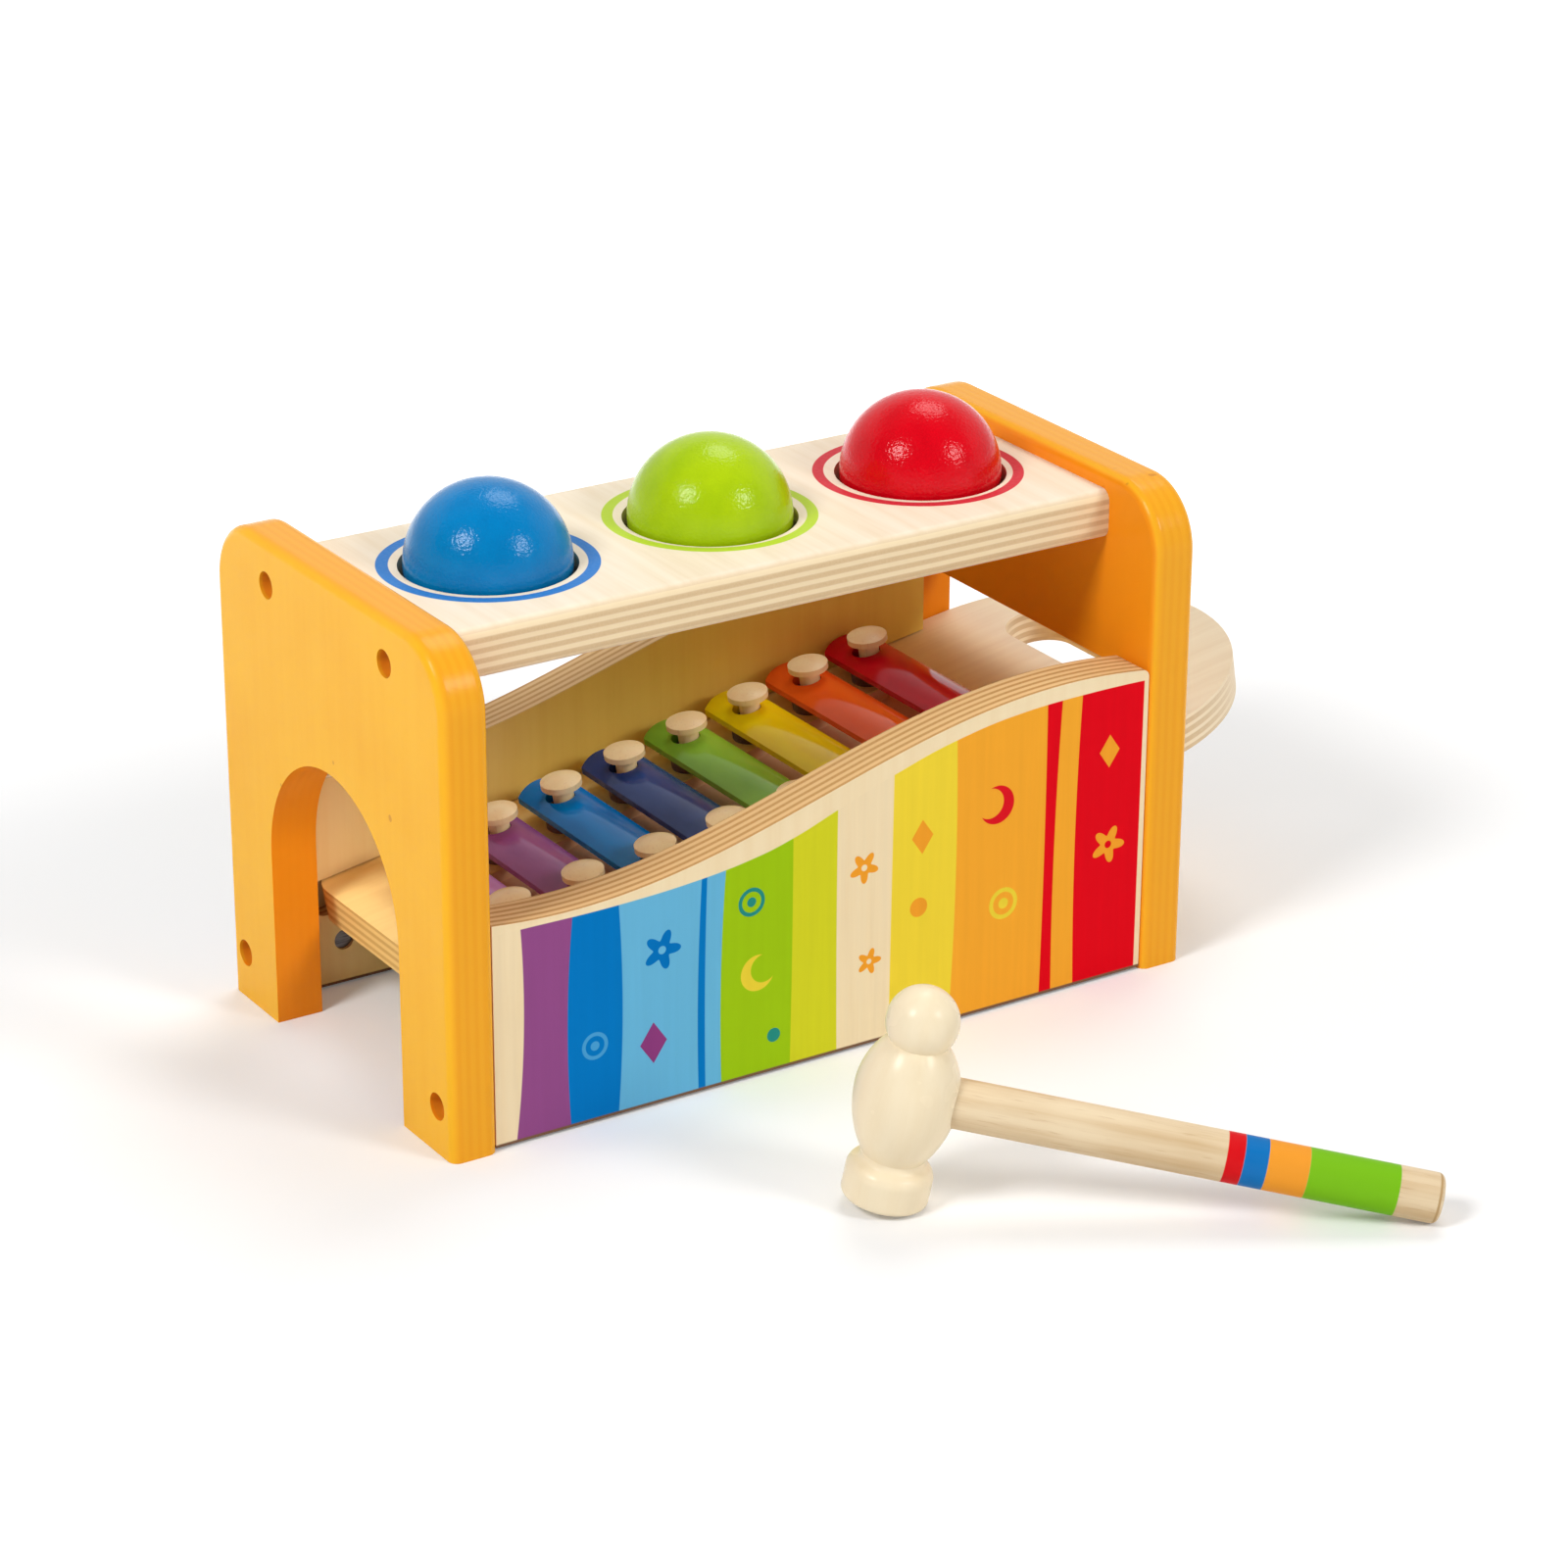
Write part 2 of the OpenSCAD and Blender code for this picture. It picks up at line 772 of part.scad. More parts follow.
side_panel_bolts();
barrel_nuts();
locating_dowels();
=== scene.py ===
"""Looks, light and camera for a ball pounding bench with a slide-out xylophone and a hammer.

Lengths are in metres, in the frame of the solids: X along the bench, Y to its back, Z up.
Where a docstring says millimetres, MM turns the numbers into metres when they are used.
Colours are written as they appear on screen, from 0 to 255, and made linear when they are used.
"""

import logging
import math
from dataclasses import dataclass
from enum import Enum
from typing import Any

import bmesh
import bpy
from mathutils import Matrix, Vector

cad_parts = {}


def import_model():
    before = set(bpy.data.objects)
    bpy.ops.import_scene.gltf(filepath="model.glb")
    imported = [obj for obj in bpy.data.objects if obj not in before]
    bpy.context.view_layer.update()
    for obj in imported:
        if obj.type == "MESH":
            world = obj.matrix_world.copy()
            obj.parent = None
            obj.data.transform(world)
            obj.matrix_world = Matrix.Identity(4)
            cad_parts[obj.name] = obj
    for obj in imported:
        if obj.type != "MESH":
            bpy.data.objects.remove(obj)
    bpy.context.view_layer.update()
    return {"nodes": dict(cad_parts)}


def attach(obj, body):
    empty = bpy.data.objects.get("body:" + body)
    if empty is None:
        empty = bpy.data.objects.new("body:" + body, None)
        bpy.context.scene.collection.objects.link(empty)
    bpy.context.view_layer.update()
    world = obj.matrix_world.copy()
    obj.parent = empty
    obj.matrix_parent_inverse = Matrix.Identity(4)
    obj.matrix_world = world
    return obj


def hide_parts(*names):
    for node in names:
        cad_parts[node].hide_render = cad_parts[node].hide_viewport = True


log = logging.getLogger("pounding_bench")

Colour = tuple[int, int, int]
Pair = tuple[float, float]
Triple = tuple[float, float, float]
Paints = tuple[tuple[str, Colour, Colour], ...]
Material = bpy.types.Material
Socket = bpy.types.NodeSocket
Value = float | Socket

MM = 0.001
WHITE = (1.0, 1.0, 1.0, 1.0)

# shared sizes of the solids, in metres and degrees
END_FACE = 125.0 * MM
TOP_FACE = 145.5 * MM
HOLE_PITCH = 73.0 * MM
SIDE_FACE = 65.5 * MM
BOARD_SLOPE = 9.4
BOARD_RISE = 52.2 * MM

# softness of painted and printed edges, and the step between the heights of a stripe's three places
PAINT_SOFT = 0.12 * MM
PRINT_SOFT = 0.14 * MM
STRIPE_STEP = 45.0 * MM


def linear(colour: Colour) -> tuple[float, float, float, float]:
    """Turn a screen colour into the linear values that a shader takes.

    Args:
        colour: red, green and blue from 0 to 255.

    Returns:
        Linear red, green, blue and an alpha of one.
    """
    parts = [c / 255 for c in colour]
    made = [p / 12.92 if p <= 0.04045 else ((p + 0.055) / 1.055) ** 2.4 for p in parts]
    return (made[0], made[1], made[2], 1.0)


@dataclass(frozen=True)
class Place:
    """Where a pattern's own axes lie: their origin in metres and their turn in degrees."""

    origin: Triple = (0.0, 0.0, 0.0)
    turn: Triple = (0.0, 0.0, 0.0)


class Graph:
    """The nodes of one material, or of the world, wired by short calls."""

    def __init__(self, name: str, world: bpy.types.World | None = None) -> None:
        """Start an empty material, or empty a world.

        Args:
            name: the material's name.
            world: the world to wire instead of a new material.
        """
        self.material: Any = world or bpy.data.materials.new(name)
        self.material.use_nodes = True
        self.tree: bpy.types.NodeTree = self.material.node_tree
        self.tree.nodes.clear()
        self.output = self.tree.nodes.new(f"ShaderNodeOutput{'World' if world else 'Material'}")

    def feed(self, socket: Socket, value: Any) -> None:
        """Link a socket to another one, or set its number, vector or colour.

        Args:
            socket: the input to fill.
            value: the socket to link, or what to set.
        """
        if isinstance(value, bpy.types.NodeSocket):
            self.tree.links.new(value, socket)
        else:
            socket.default_value = value

    def node(self, kind: str, inputs: dict[str | int, Any], **settings: Any) -> bpy.types.Node:
        """Add a node.

        Args:
            kind: Blender's name of the node type.
            inputs: sockets or values by input name or number.
            settings: the node's own properties.

        Returns:
            The new node.
        """
        made = self.tree.nodes.new(kind)
        for key, value in settings.items():
            setattr(made, key, value)
        for key, value in inputs.items():
            self.feed(made.inputs[key], value)
        return made

    def math(self, operation: str, *values: Value, clamp: bool = False) -> Socket:
        """Apply one arithmetic step to sockets or numbers."""
        inputs = dict(enumerate(values))
        return self.node("ShaderNodeMath", inputs, operation=operation, use_clamp=clamp).outputs[0]

    def times(self, first: Value, second: Value) -> Socket:
        """Multiply two sockets or numbers."""
        return self.math("MULTIPLY", first, second)

    def weigh(self, value: Value, weight: Value, rest: Value) -> Socket:
        """Give a value times its weight plus the rest."""
        return self.math("MULTIPLY_ADD", value, weight, rest)

    def less(self, value: Value, amount: Value) -> Socket:
        """Take an amount from a value."""
        return self.math("SUBTRACT", value, amount)

    def flip(self, value: Value) -> Socket:
        """Turn 0 into 1 and 1 into 0."""
        return self.less(1.0, value)

    def unsigned(self, value: Value) -> Socket:
        """Drop a value's sign."""
        return self.math("ABSOLUTE", value)

    def away(self, x: Socket, y: Socket) -> Socket:
        """Give the distance of a point from the middle of two axes."""
        return self.math("SQRT", self.math("ADD", self.times(x, x), self.times(y, y)))

    def mix(self, factor: Value, first: Any, second: Any, blend: str = "MIX") -> Socket:
        """Mix two colours.

        Args:
            factor: share of the second colour.
            first: colour or socket at factor 0.
            second: colour or socket at factor 1.
            blend: Blender's blend mode.

        Returns:
            The mixed colour.
        """
        inputs = {0: factor, 6: first, 7: second}
        made = self.node("ShaderNodeMix", inputs, data_type="RGBA", blend_type=blend)
        return made.outputs[2]

    def tint(self, colour: Any, tone: Any) -> Socket:
        """Multiply a colour by a tone."""
        return self.mix(1.0, colour, tone, "MULTIPLY")

    def blend(self, value: Value, low: float, high: float, start: Colour, end: Colour) -> Socket:
        """Go from one screen colour to another as a value goes from low to high."""
        return self.mix(self.step(value, low, high), linear(start), linear(end))

    def step(self, value: Value, low: Value, high: Value) -> Socket:
        """Rise smoothly from 0 at low to 1 at high; low above high makes it fall."""
        inputs = {"Value": value, "From Min": low, "From Max": high}
        return self.node("ShaderNodeMapRange", inputs, interpolation_type="SMOOTHSTEP").outputs[0]

    def past(self, value: Value, limit: float, soft: float) -> Socket:
        """Give 1 above a limit and 0 below it, with a soft edge."""
        return self.step(value, limit - soft, limit + soft)

    def under(self, value: Value, limit: float, soft: float) -> Socket:
        """Give 1 below a limit and 0 above it, with a soft edge."""
        return self.step(value, limit + soft, limit - soft)

    def band(self, value: Value, low: float, high: float, soft: float) -> Socket:
        """Give 1 between two limits and 0 outside them, with soft edges."""
        return self.times(self.past(value, low, soft), self.under(value, high, soft))

    def spread(self, value: Value, low: float, high: float) -> Socket:
        """Stretch a 0 to 1 value to the range from low to high."""
        inputs = {"Value": value, "To Min": low, "To Max": high}
        return self.node("ShaderNodeMapRange", inputs).outputs[0]

    def noise(
        self, vector: Socket, scale: float | Triple, detail: float = 2.0, rough: float = 0.5
    ) -> Socket:
        """Give smooth noise from 0 to 1.

        Args:
            vector: the vector that the noise lies over.
            scale: features to the metre, all round or along each axis.
            detail: octaves of finer noise.
            rough: strength of the finer noise.

        Returns:
            The noise.
        """
        if isinstance(scale, tuple):
            parts = self.node("ShaderNodeVectorMath", {0: vector, 1: scale}, operation="MULTIPLY")
            vector, scale = parts.outputs[0], 1.0
        inputs = {"Vector": vector, "Scale": scale, "Detail": detail, "Roughness": rough}
        return self.node("ShaderNodeTexNoise", inputs).outputs[0]

    def split(self, vector: Socket) -> tuple[Socket, Socket, Socket]:
        """Take a vector's three parts."""
        made = self.node("ShaderNodeSeparateXYZ", {0: vector})
        return made.outputs[0], made.outputs[1], made.outputs[2]

    def join(self, x: Value, y: Value, z: Value) -> Socket:
        """Make a vector of three parts."""
        return self.node("ShaderNodeCombineXYZ", {0: x, 1: y, 2: z}).outputs[0]

    def where(self, place: Place) -> Socket:
        """Give the point of the surface in a pattern's own axes."""
        point = self.node("ShaderNodeTexCoord", {}).outputs["Object"]
        return self.turn(point, place.origin, place.turn)

    def facing(self, place: Place) -> Socket:
        """Give the surface's normal in a pattern's own axes."""
        normal = self.node("ShaderNodeTexCoord", {}).outputs["Normal"]
        return self.turn(normal, (0.0, 0.0, 0.0), place.turn)

    def turn(self, vector: Socket, origin: Triple, degrees: Triple) -> Socket:
        """Read a vector in other axes.

        Args:
            vector: the vector to read.
            origin: where the axes lie.
            degrees: how they are turned about X, Y and Z.

        Returns:
            The vector in those axes.
        """
        angles = tuple(math.radians(d) for d in degrees)
        inputs = {"Vector": vector, "Location": origin, "Rotation": angles}
        return self.node("ShaderNodeMapping", inputs, vector_type="TEXTURE").outputs[0]

    def bump(self, height: Socket, distance: float, strength: float = 1.0) -> Socket:
        """Turn a height from 0 to 1 into a shading normal."""
        inputs = {"Strength": strength, "Distance": distance, "Height": height}
        return self.node("ShaderNodeBump", inputs).outputs[0]

    def surface(self, **inputs: Any) -> Material:
        """Close the graph with one principled shader.

        Args:
            inputs: the shader's sockets, with underscores for the spaces in their names.

        Returns:
            The material.
        """
        named = {key.replace("_", " "): value for key, value in inputs.items()}
        shader = self.node("ShaderNodeBsdfPrincipled", named)
        self.tree.links.new(shader.outputs[0], self.output.inputs["Surface"])
        return self.material


def ply_wave(g: Graph, z: Socket, pair: float, first: float, waver: Socket) -> Socket:
    """Give a wave that turns once for each pair of plies.

    Args:
        g: the graph to build in.
        z: height above the sheet's face.
        pair: thickness of two plies.
        first: depth of the first ply's middle below the face.
        waver: unevenness of the plies, in turns.

    Returns:
        The wave, 1 in the middle of the first ply and of every second one after it.
    """
    depth = g.weigh(z, -1.0 / pair, -first / pair)
    return g.math("COSINE", g.times(g.math("ADD", depth, waver), 2.0 * math.pi))


@dataclass(frozen=True)
class Finish:
    """A named finish that can make its material."""

    name: str

    def material(self) -> Material:
        """Make the material."""
        raise NotImplementedError


@dataclass(frozen=True)
class Wood(Finish):
    """Lacquered wood in two tones, with a fine relief."""

    place: Place = Place()
    pale: Colour = (246, 228, 192)
    streak: Colour = (234, 208, 164)
    roughness: float = 0.36
    gloss: float = 0.14
    patch_scale: float = 80.0
    relief_depth: float = 0.05 * MM

    def wood(self, g: Graph) -> tuple[Socket, Socket, Socket]:
        """Lay out the bare wood."""
        raise NotImplementedError

    def material(self) -> Material:
        """Make the wood with nothing painted on it.

        Returns:
            The material.
        """
        g = Graph(self.name)
        colour, relief, point = self.wood(g)
        return self.close(g, colour, relief, point)

    def close(self, g: Graph, colour: Socket, relief: Socket, point: Socket) -> Material:
        """Give the wood its lacquer.

        Args:
            g: the graph to close.
            colour: the surface's colour.
            relief: the grain's relief.
            point: the surface's point in the wood's own axes.

        Returns:
            The material.
        """
        patches = g.noise(point, self.patch_scale)
        return g.surface(
            Base_Color=colour,
            Roughness=g.spread(patches, self.roughness - 0.05, self.roughness + 0.07),
            Specular_IOR_Level=self.gloss,
            Normal=g.bump(relief, self.relief_depth, 0.5),
        )


@dataclass(frozen=True)
class Ply(Wood):
    """Lacquered birch plywood: pale faces, and edges where the crosswise plies show as bands."""

    pale: Colour = (251, 238, 215)
    streak: Colour = (246, 230, 202)
    roughness: float = 0.4
    gloss: float = 0.06
    patch_scale: float = 60.0
    relief_depth: float = 0.06 * MM
    pair: float = 2.97 * MM
    first: float = 0.4 * MM
    fibre_across: bool = True
    shares: Pair = (-0.25, 0.7)
    edge_tone: Colour = (248, 229, 198)
    end_grain: Colour = (214, 184, 142)
    glue: Colour = (186, 140, 90)
    tone_share: float = 0.85
    band_share: float = 0.85

    def wood(self, g: Graph) -> tuple[Socket, Socket, Socket]:
        """Lay out the plies.

        Args:
            g: the graph to build in.

        Returns:
            The wood's colour, its relief and the point in the wood's own axes.
        """
        point = g.where(self.place)
        x, y, z = g.split(point)
        nx, ny, nz = g.split(g.facing(self.place))
        along, across = (y, x) if self.fibre_across else (x, y)
        n_along, n_across = (ny, nx) if self.fibre_across else (nx, ny)
        fibre = g.join(along, across, z)
        streaks = g.noise(fibre, (9.0, 210.0, 210.0), 4.0, 0.6)
        flecks = g.noise(fibre, (120.0, 1500.0, 1500.0), 1.0)
        clouds = g.noise(point, 16.0)
        waver = g.spread(g.noise(fibre, (30.0, 30.0, 8.0)), -0.09, 0.09)
        wave = ply_wave(g, z, self.pair, self.first, waver)
        faceway = g.step(wave, *self.shares)
        cut_face = g.times(faceway, g.times(n_along, n_along))
        cut_cross = g.times(g.flip(faceway), g.times(n_across, n_across))
        cut = g.math("ADD", cut_face, cut_cross, clamp=True)
        patchy = g.times(cut, g.spread(flecks, 0.75, 1.15))
        end = g.math("MULTIPLY", patchy, self.band_share, clamp=True)
        seam = g.flip(g.step(g.unsigned(wave), 0.05, 0.32))
        edge = g.flip(g.step(g.unsigned(nz), 0.55, 0.95))
        line = g.times(g.times(seam, edge), g.spread(clouds, 0.0, 0.3))
        figure = g.weigh(clouds, 0.35, g.times(streaks, 0.65))
        face = g.blend(figure, 0.34, 0.72, self.pale, self.streak)
        toned = g.mix(g.times(edge, self.tone_share), face, linear(self.edge_tone))
        banded = g.mix(end, toned, linear(self.end_grain))
        colour = g.mix(line, banded, linear(self.glue))
        relief = g.weigh(cut, -0.4, g.weigh(flecks, 0.25, streaks))
        return colour, relief, point


@dataclass(frozen=True)
class HoleRing:
    """A painted ring round one hole of the top board."""

    middle_x: float
    middle_y: float
    colour: Colour
    inside: float = 28.0 * MM
    outside: float = 31.3 * MM


@dataclass(frozen=True)
class RingedPly(Ply):
    """Plywood with painted rings on its upper face."""

    rings: tuple[HoleRing, ...] = ()

    def material(self) -> Material:
        """Make the wood and paint the rings on it.

        Returns:
            The material.
        """
        g = Graph(self.name)
        colour, relief, point = self.wood(g)
        x, y, _ = g.split(g.where(Place()))
        upward = g.step(g.split(g.facing(self.place))[2], 0.93, 0.99)
        thin = g.spread(g.noise(point, 900.0, 1.0), 0.92, 1.0)
        for ring in self.rings:
            away = g.away(g.less(x, ring.middle_x), g.less(y, ring.middle_y))
            painted = g.times(g.band(away, ring.inside, ring.outside, PAINT_SOFT), upward)
            colour = g.mix(g.times(painted, thin), colour, linear(ring.colour))
        return self.close(g, colour, relief, point)


@dataclass(frozen=True)
class TroughPly(Ply):
    """Plywood, tinted yellower under the bench as painted bounce light, with painted shade in its
    sound trough; its limits are in millimetres.
    """

    start: float = -88.8
    end: float = 91.7
    half: float = 47.0
    lip: float = -0.35
    bottom: float = -6.0
    soft: float = 0.1
    indoors: float = 116.0
    fade: float = 25.0
    # painted shade: a darker tone laid into the trough, where the bars shade the board
    painted_trough_shade: Colour = (248, 200, 160)
    # painted bounce light: a yellow tint multiplied onto the board under the bench
    indoor_bounce_tint: Colour = (255, 231, 168)

    def material(self) -> Material:
        """Make the wood, with painted shade in its trough and painted bounce light under the bench.

        Returns:
            The material.
        """
        g = Graph(self.name)
        colour, relief, point = self.wood(g)
        x, y, z = g.split(point)
        soft = self.soft * MM
        # painted shade: darken the sunken trough between its limits
        sunk = g.band(z, self.bottom * MM, self.lip * MM, soft)
        along = g.band(x, self.start * MM, self.end * MM, soft)
        across = g.band(y, -self.half * MM, self.half * MM, soft)
        inside = g.times(sunk, g.times(along, across))
        patchy = g.times(inside, g.spread(g.noise(point, 140.0, 3.0), 0.86, 1.0))
        # painted bounce light: tint the board yellower where x lies below indoors, with a soft fade
        indoor_bounce_mask = g.under(x, self.indoors * MM, self.fade * MM)
        toned = g.mix(indoor_bounce_mask, colour, g.tint(colour, linear(self.indoor_bounce_tint)))
        return self.close(g, g.mix(patchy, toned, linear(self.painted_trough_shade)), relief, point)


class FigureKind(Enum):
    """The small stencilled figures."""

    DOT = "dot"
    HOOP = "hoop"
    FLOWER = "flower"
    DIAMOND = "diamond"
    CRESCENT = "crescent"


@dataclass(frozen=True)
class Figure:
    """One stencilled figure on the printed face: place and size in millimetres, turn in degrees."""

    kind: FigureKind
    x: float
    z: float
    size: float
    colour: Colour
    turn: float = 0.0

    # proportions, in shares of the size
    HOOP_INSIDE = 0.72
    HOOP_DOT = 0.34
    BITE_SHIFT = 0.42
    BITE_SIZE = 0.78
    PETAL_SWELL = 0.26
    PETAL_MEAN = 0.74
    FLOWER_EYE = 0.2
    PETALS = 5.0
    SLIMNESS = 1.45

    def cover(self, g: Graph, x: Socket, z: Socket) -> Socket:
        """Tell where the figure covers the face.

        Args:
            g: the graph to build in.
            x: place along the face.
            z: height on the face.

        Returns:
            1 on the figure and 0 off it.
        """
        dx, dz = g.less(x, self.x * MM), g.less(z, self.z * MM)
        away, size = g.away(dx, dz), self.size * MM
        if self.kind is FigureKind.DOT:
            return g.under(away, size, PAINT_SOFT)
        if self.kind is FigureKind.HOOP:
            hoop = g.band(away, self.HOOP_INSIDE * size, size, PAINT_SOFT)
            return g.math("MAXIMUM", hoop, g.under(away, self.HOOP_DOT * size, PAINT_SOFT))
        if self.kind is FigureKind.DIAMOND:
            reach = g.weigh(g.unsigned(dx), self.SLIMNESS, g.unsigned(dz))
            return g.under(reach, size, PAINT_SOFT)
        if self.kind is FigureKind.CRESCENT:
            lean, shift = math.radians(self.turn), self.BITE_SHIFT * size
            ox, oz = g.less(dx, shift * math.cos(lean)), g.less(dz, shift * math.sin(lean))
            unbitten = g.past(g.away(ox, oz), self.BITE_SIZE * size, PAINT_SOFT)
            return g.times(g.under(away, size, PAINT_SOFT), unbitten)
        angle = g.weigh(g.math("ARCTAN2", dz, dx), self.PETALS, math.radians(self.turn))
        rim = g.weigh(g.math("COSINE", angle), self.PETAL_SWELL * size, self.PETAL_MEAN * size)
        inside = g.under(g.less(away, rim), 0.0, PAINT_SOFT)
        return g.times(inside, g.past(away, self.FLOWER_EYE * size, PAINT_SOFT))


@dataclass(frozen=True)
class Stripe:
    """A stripe: its colour, bare where None, and its right edge in millimetres at three heights."""

    colour: Colour | None
    foot: float
    middle: float
    head: float

    def cover(self, g: Graph, x: Socket, height: Socket) -> Socket:
        """Tell where the face lies left of the stripe's right edge.

        Args:
            g: the graph to build in.
            x: place along the face.
            height: height on the face, in stripe steps.

        Returns:
            1 left of the edge and 0 right of it.
        """
        slope = (4 * self.middle - 3 * self.foot - self.head) / 2 * MM
        bend = (self.foot - 2 * self.middle + self.head) / 2 * MM
        edge = g.weigh(height, g.weigh(height, bend, slope), self.foot * MM)
        return g.under(g.less(x, edge), 0.0, PRINT_SOFT)


@dataclass(frozen=True)
class PrintedPly(Ply):
    """Plywood with a striped print on its outer face, below a bare margin along the wave.

    The inner face is tinted yellower away from the left end as painted bounce light, and the foot
    is raw wood darkened as painted contact shade. Limits, and the places and heights of the upper
    edge, are in millimetres.
    """

    stripes: tuple[Stripe, ...] = ()
    figures: tuple[Figure, ...] = ()
    upper_edge: tuple[Pair, ...] = ()
    # painted bounce light on the inner face, from the end tint to the inner tint along x
    inner_bounce_tint: Colour = (255, 232, 132)
    end_bounce_tint: Colour = (255, 240, 200)
    bounce_start: float = -105.0
    bounce_end: float = -10.0
    foot: float = 1.7
    foot_soft: float = 0.2
    # raw ply wood at the foot, darkened further as painted contact shade along the floor
    foot_wood_and_shade: Colour = (124, 92, 70)
    low: float = 60.0
    high: float = 100.0
    reach: float = 120.0

    def margin(self, g: Graph, x: Socket, z: Socket) -> Socket:
        """Tell where the face lies below the print's upper edge.

        Args:
            g: the graph to build in.
            x: place along the face.
            z: height on the face.

        Returns:
            1 below the edge and 0 above it.
        """
        place = g.weigh(x, 0.5 / (self.reach * MM), 0.5)
        curve = g.node("ShaderNodeFloatCurve", {"Factor": 1.0, "Value": place})
        points = curve.mapping.curves[0].points
        while len(points) < len(self.upper_edge):
            points.new(0.5, 0.5)
        for point, (along, height) in zip(points, self.upper_edge):
            share = (height - self.low) / (self.high - self.low)
            point.location = (0.5 + 0.5 * along / self.reach, share)
        curve.mapping.update()
        edge = g.spread(curve.outputs[0], self.low * MM, self.high * MM)
        return g.under(g.less(z, edge), 0.0, PRINT_SOFT)

    def material(self) -> Material:
        """Make the wood and print the stripes and figures on it.

        Returns:
            The material.
        """
        g = Graph(self.name)
        bare, relief, point = self.wood(g)
        x, _, z = g.split(g.where(Place()))
        height = g.times(z, 1.0 / STRIPE_STEP)
        printed = bare
        for stripe in reversed(self.stripes):
            ink = bare if stripe.colour is None else linear(stripe.colour)
            printed = g.mix(stripe.cover(g, x, height), printed, ink)
        for figure in self.figures:
            printed = g.mix(figure.cover(g, x, z), printed, linear(figure.colour))
        brush = g.spread(g.noise(point, (420.0, 16.0, 420.0), 3.0), 0.93, 1.05)
        shaded = g.tint(printed, g.join(brush, brush, brush))
        facing = g.split(g.facing(self.place))[2]
        outward, inward = g.step(facing, 0.9, 0.99), g.step(facing, -0.6, -0.95)
        below = g.times(self.margin(g, x, z), outward)
        # painted bounce light: the inner face tinted yellower away from the left end
        start, end = self.bounce_start * MM, self.bounce_end * MM
        tone = g.blend(x, start, end, self.end_bounce_tint, self.inner_bounce_tint)
        finished = g.mix(below, g.mix(inward, bare, g.tint(bare, tone)), shaded)
        # the foot: raw wood darkened as painted contact shade
        raw_foot_and_shade = g.under(z, self.foot * MM, self.foot_soft * MM)
        return self.close(g, g.mix(raw_foot_and_shade, finished, linear(self.foot_wood_and_shade)), relief, point)


@dataclass(frozen=True)
class PanelLacquer(Finish):
    """Opaque satin lacquer on plywood, whose plies show a little at the edges.

    It is darker and redder on the inner face and in the openings, and on the counterbore walls, as
    painted shade.
    The places of the bores and the limits of the openings are in millimetres.
    """

    place: Place = Place()
    pair: float = 2.85 * MM
    colour: Colour = (251, 187, 38)
    thin: Colour = (243, 168, 26)
    ridge: Colour = (241, 167, 35)
    furrow: Colour = (239, 162, 32)
    fleck: Colour = (190, 110, 30)
    # painted shade: the darker, redder orange of the inner face and the openings
    deep: Colour = (248, 135, 18)
    # painted shade: the deeper orange of the counterbore walls
    bare: Colour = (236, 138, 28)
    thin_share: float = 0.75
    fleck_share: float = 0.5
    inner_shade_share: float = 0.75
    gloss: float = 0.13
    bores: tuple[Pair, ...] = ((35.0, 138.0), (58.5, 14.7))
    bore_rim: Pair = (4.5 * MM, 4.4 * MM)
    bore_depth: Pair = (-0.5 * MM, -1.4 * MM)
    opening_half: float = 60.5
    opening_top: float = 120.5
    opening_soft: float = 0.5

    def bored(self, g: Graph) -> Socket:
        """Find the counterbore walls, where shade is painted.

        Args:
            g: the graph to build in.

        Returns:
            1 on those walls and 0 elsewhere.
        """
        across, up = g.split(g.where(Place()))[1:]
        depth = g.split(g.where(self.place))[2]
        found: Value = 0.0
        for place, height in self.bores:
            away = g.away(g.less(g.unsigned(across), place * MM), g.less(up, height * MM))
            found = g.math("MAXIMUM", found, g.step(away, *self.bore_rim))
        return g.times(found, g.step(depth, *self.bore_depth))

    def material(self) -> Material:
        """Make the lacquer over the wood's relief.

        Returns:
            The material.
        """
        g = Graph(self.name)
        point = g.where(self.place)
        height, facing = g.split(point)[2], g.split(g.facing(self.place))[2]
        edge = g.flip(g.step(g.unsigned(facing), 0.3, 0.9))
        waver = g.spread(g.noise(point, (14.0, 60.0, 8.0)), -0.12, 0.12)
        wave = ply_wave(g, height, self.pair, 0.0, waver)
        plies = g.times(edge, g.step(wave, -0.7, 0.9))
        clouds = g.noise(point, 26.0, 3.0)
        fibres = g.noise(point, (12.0, 260.0, 260.0), 3.0)
        uneven = g.weigh(clouds, 0.5, g.times(fibres, 0.3))
        worn = g.times(g.step(uneven, 0.25, 0.75), self.thin_share)
        broad = g.mix(worn, linear(self.colour), linear(self.thin))
        narrow = g.mix(plies, linear(self.ridge), linear(self.furrow))
        spots = g.times(g.step(g.noise(point, 210.0, 0.0), 0.86, 0.89), self.fleck_share)
        flecked = g.mix(spots, g.mix(edge, broad, narrow), linear(self.fleck))
        across, up = g.split(g.where(Place()))[1:]
        soft = self.opening_soft * MM
        beside = g.under(g.unsigned(across), self.opening_half * MM, soft)
        opening = g.times(beside, g.under(up, self.opening_top * MM, soft))
        # painted shade: inner face and openings take the darker, redder orange
        shaded_inside = g.math("MAXIMUM", g.times(edge, opening), g.step(facing, -0.6, -0.95))
        inner_shaded = g.mix(g.times(shaded_inside, self.inner_shade_share), flecked, linear(self.deep))
        relief = g.weigh(plies, -0.45, g.weigh(fibres, 0.5, g.noise(point, 700.0, 1.0)))
        # painted shade: the counterbore walls take the deeper bore colour
        return g.surface(
            Base_Color=g.mix(self.bored(g), inner_shaded, linear(self.bare)),
            Roughness=g.spread(clouds, 0.2, 0.3),
            Specular_IOR_Level=self.gloss,
            Normal=g.bump(relief, 0.05 * MM, 0.6),
        )


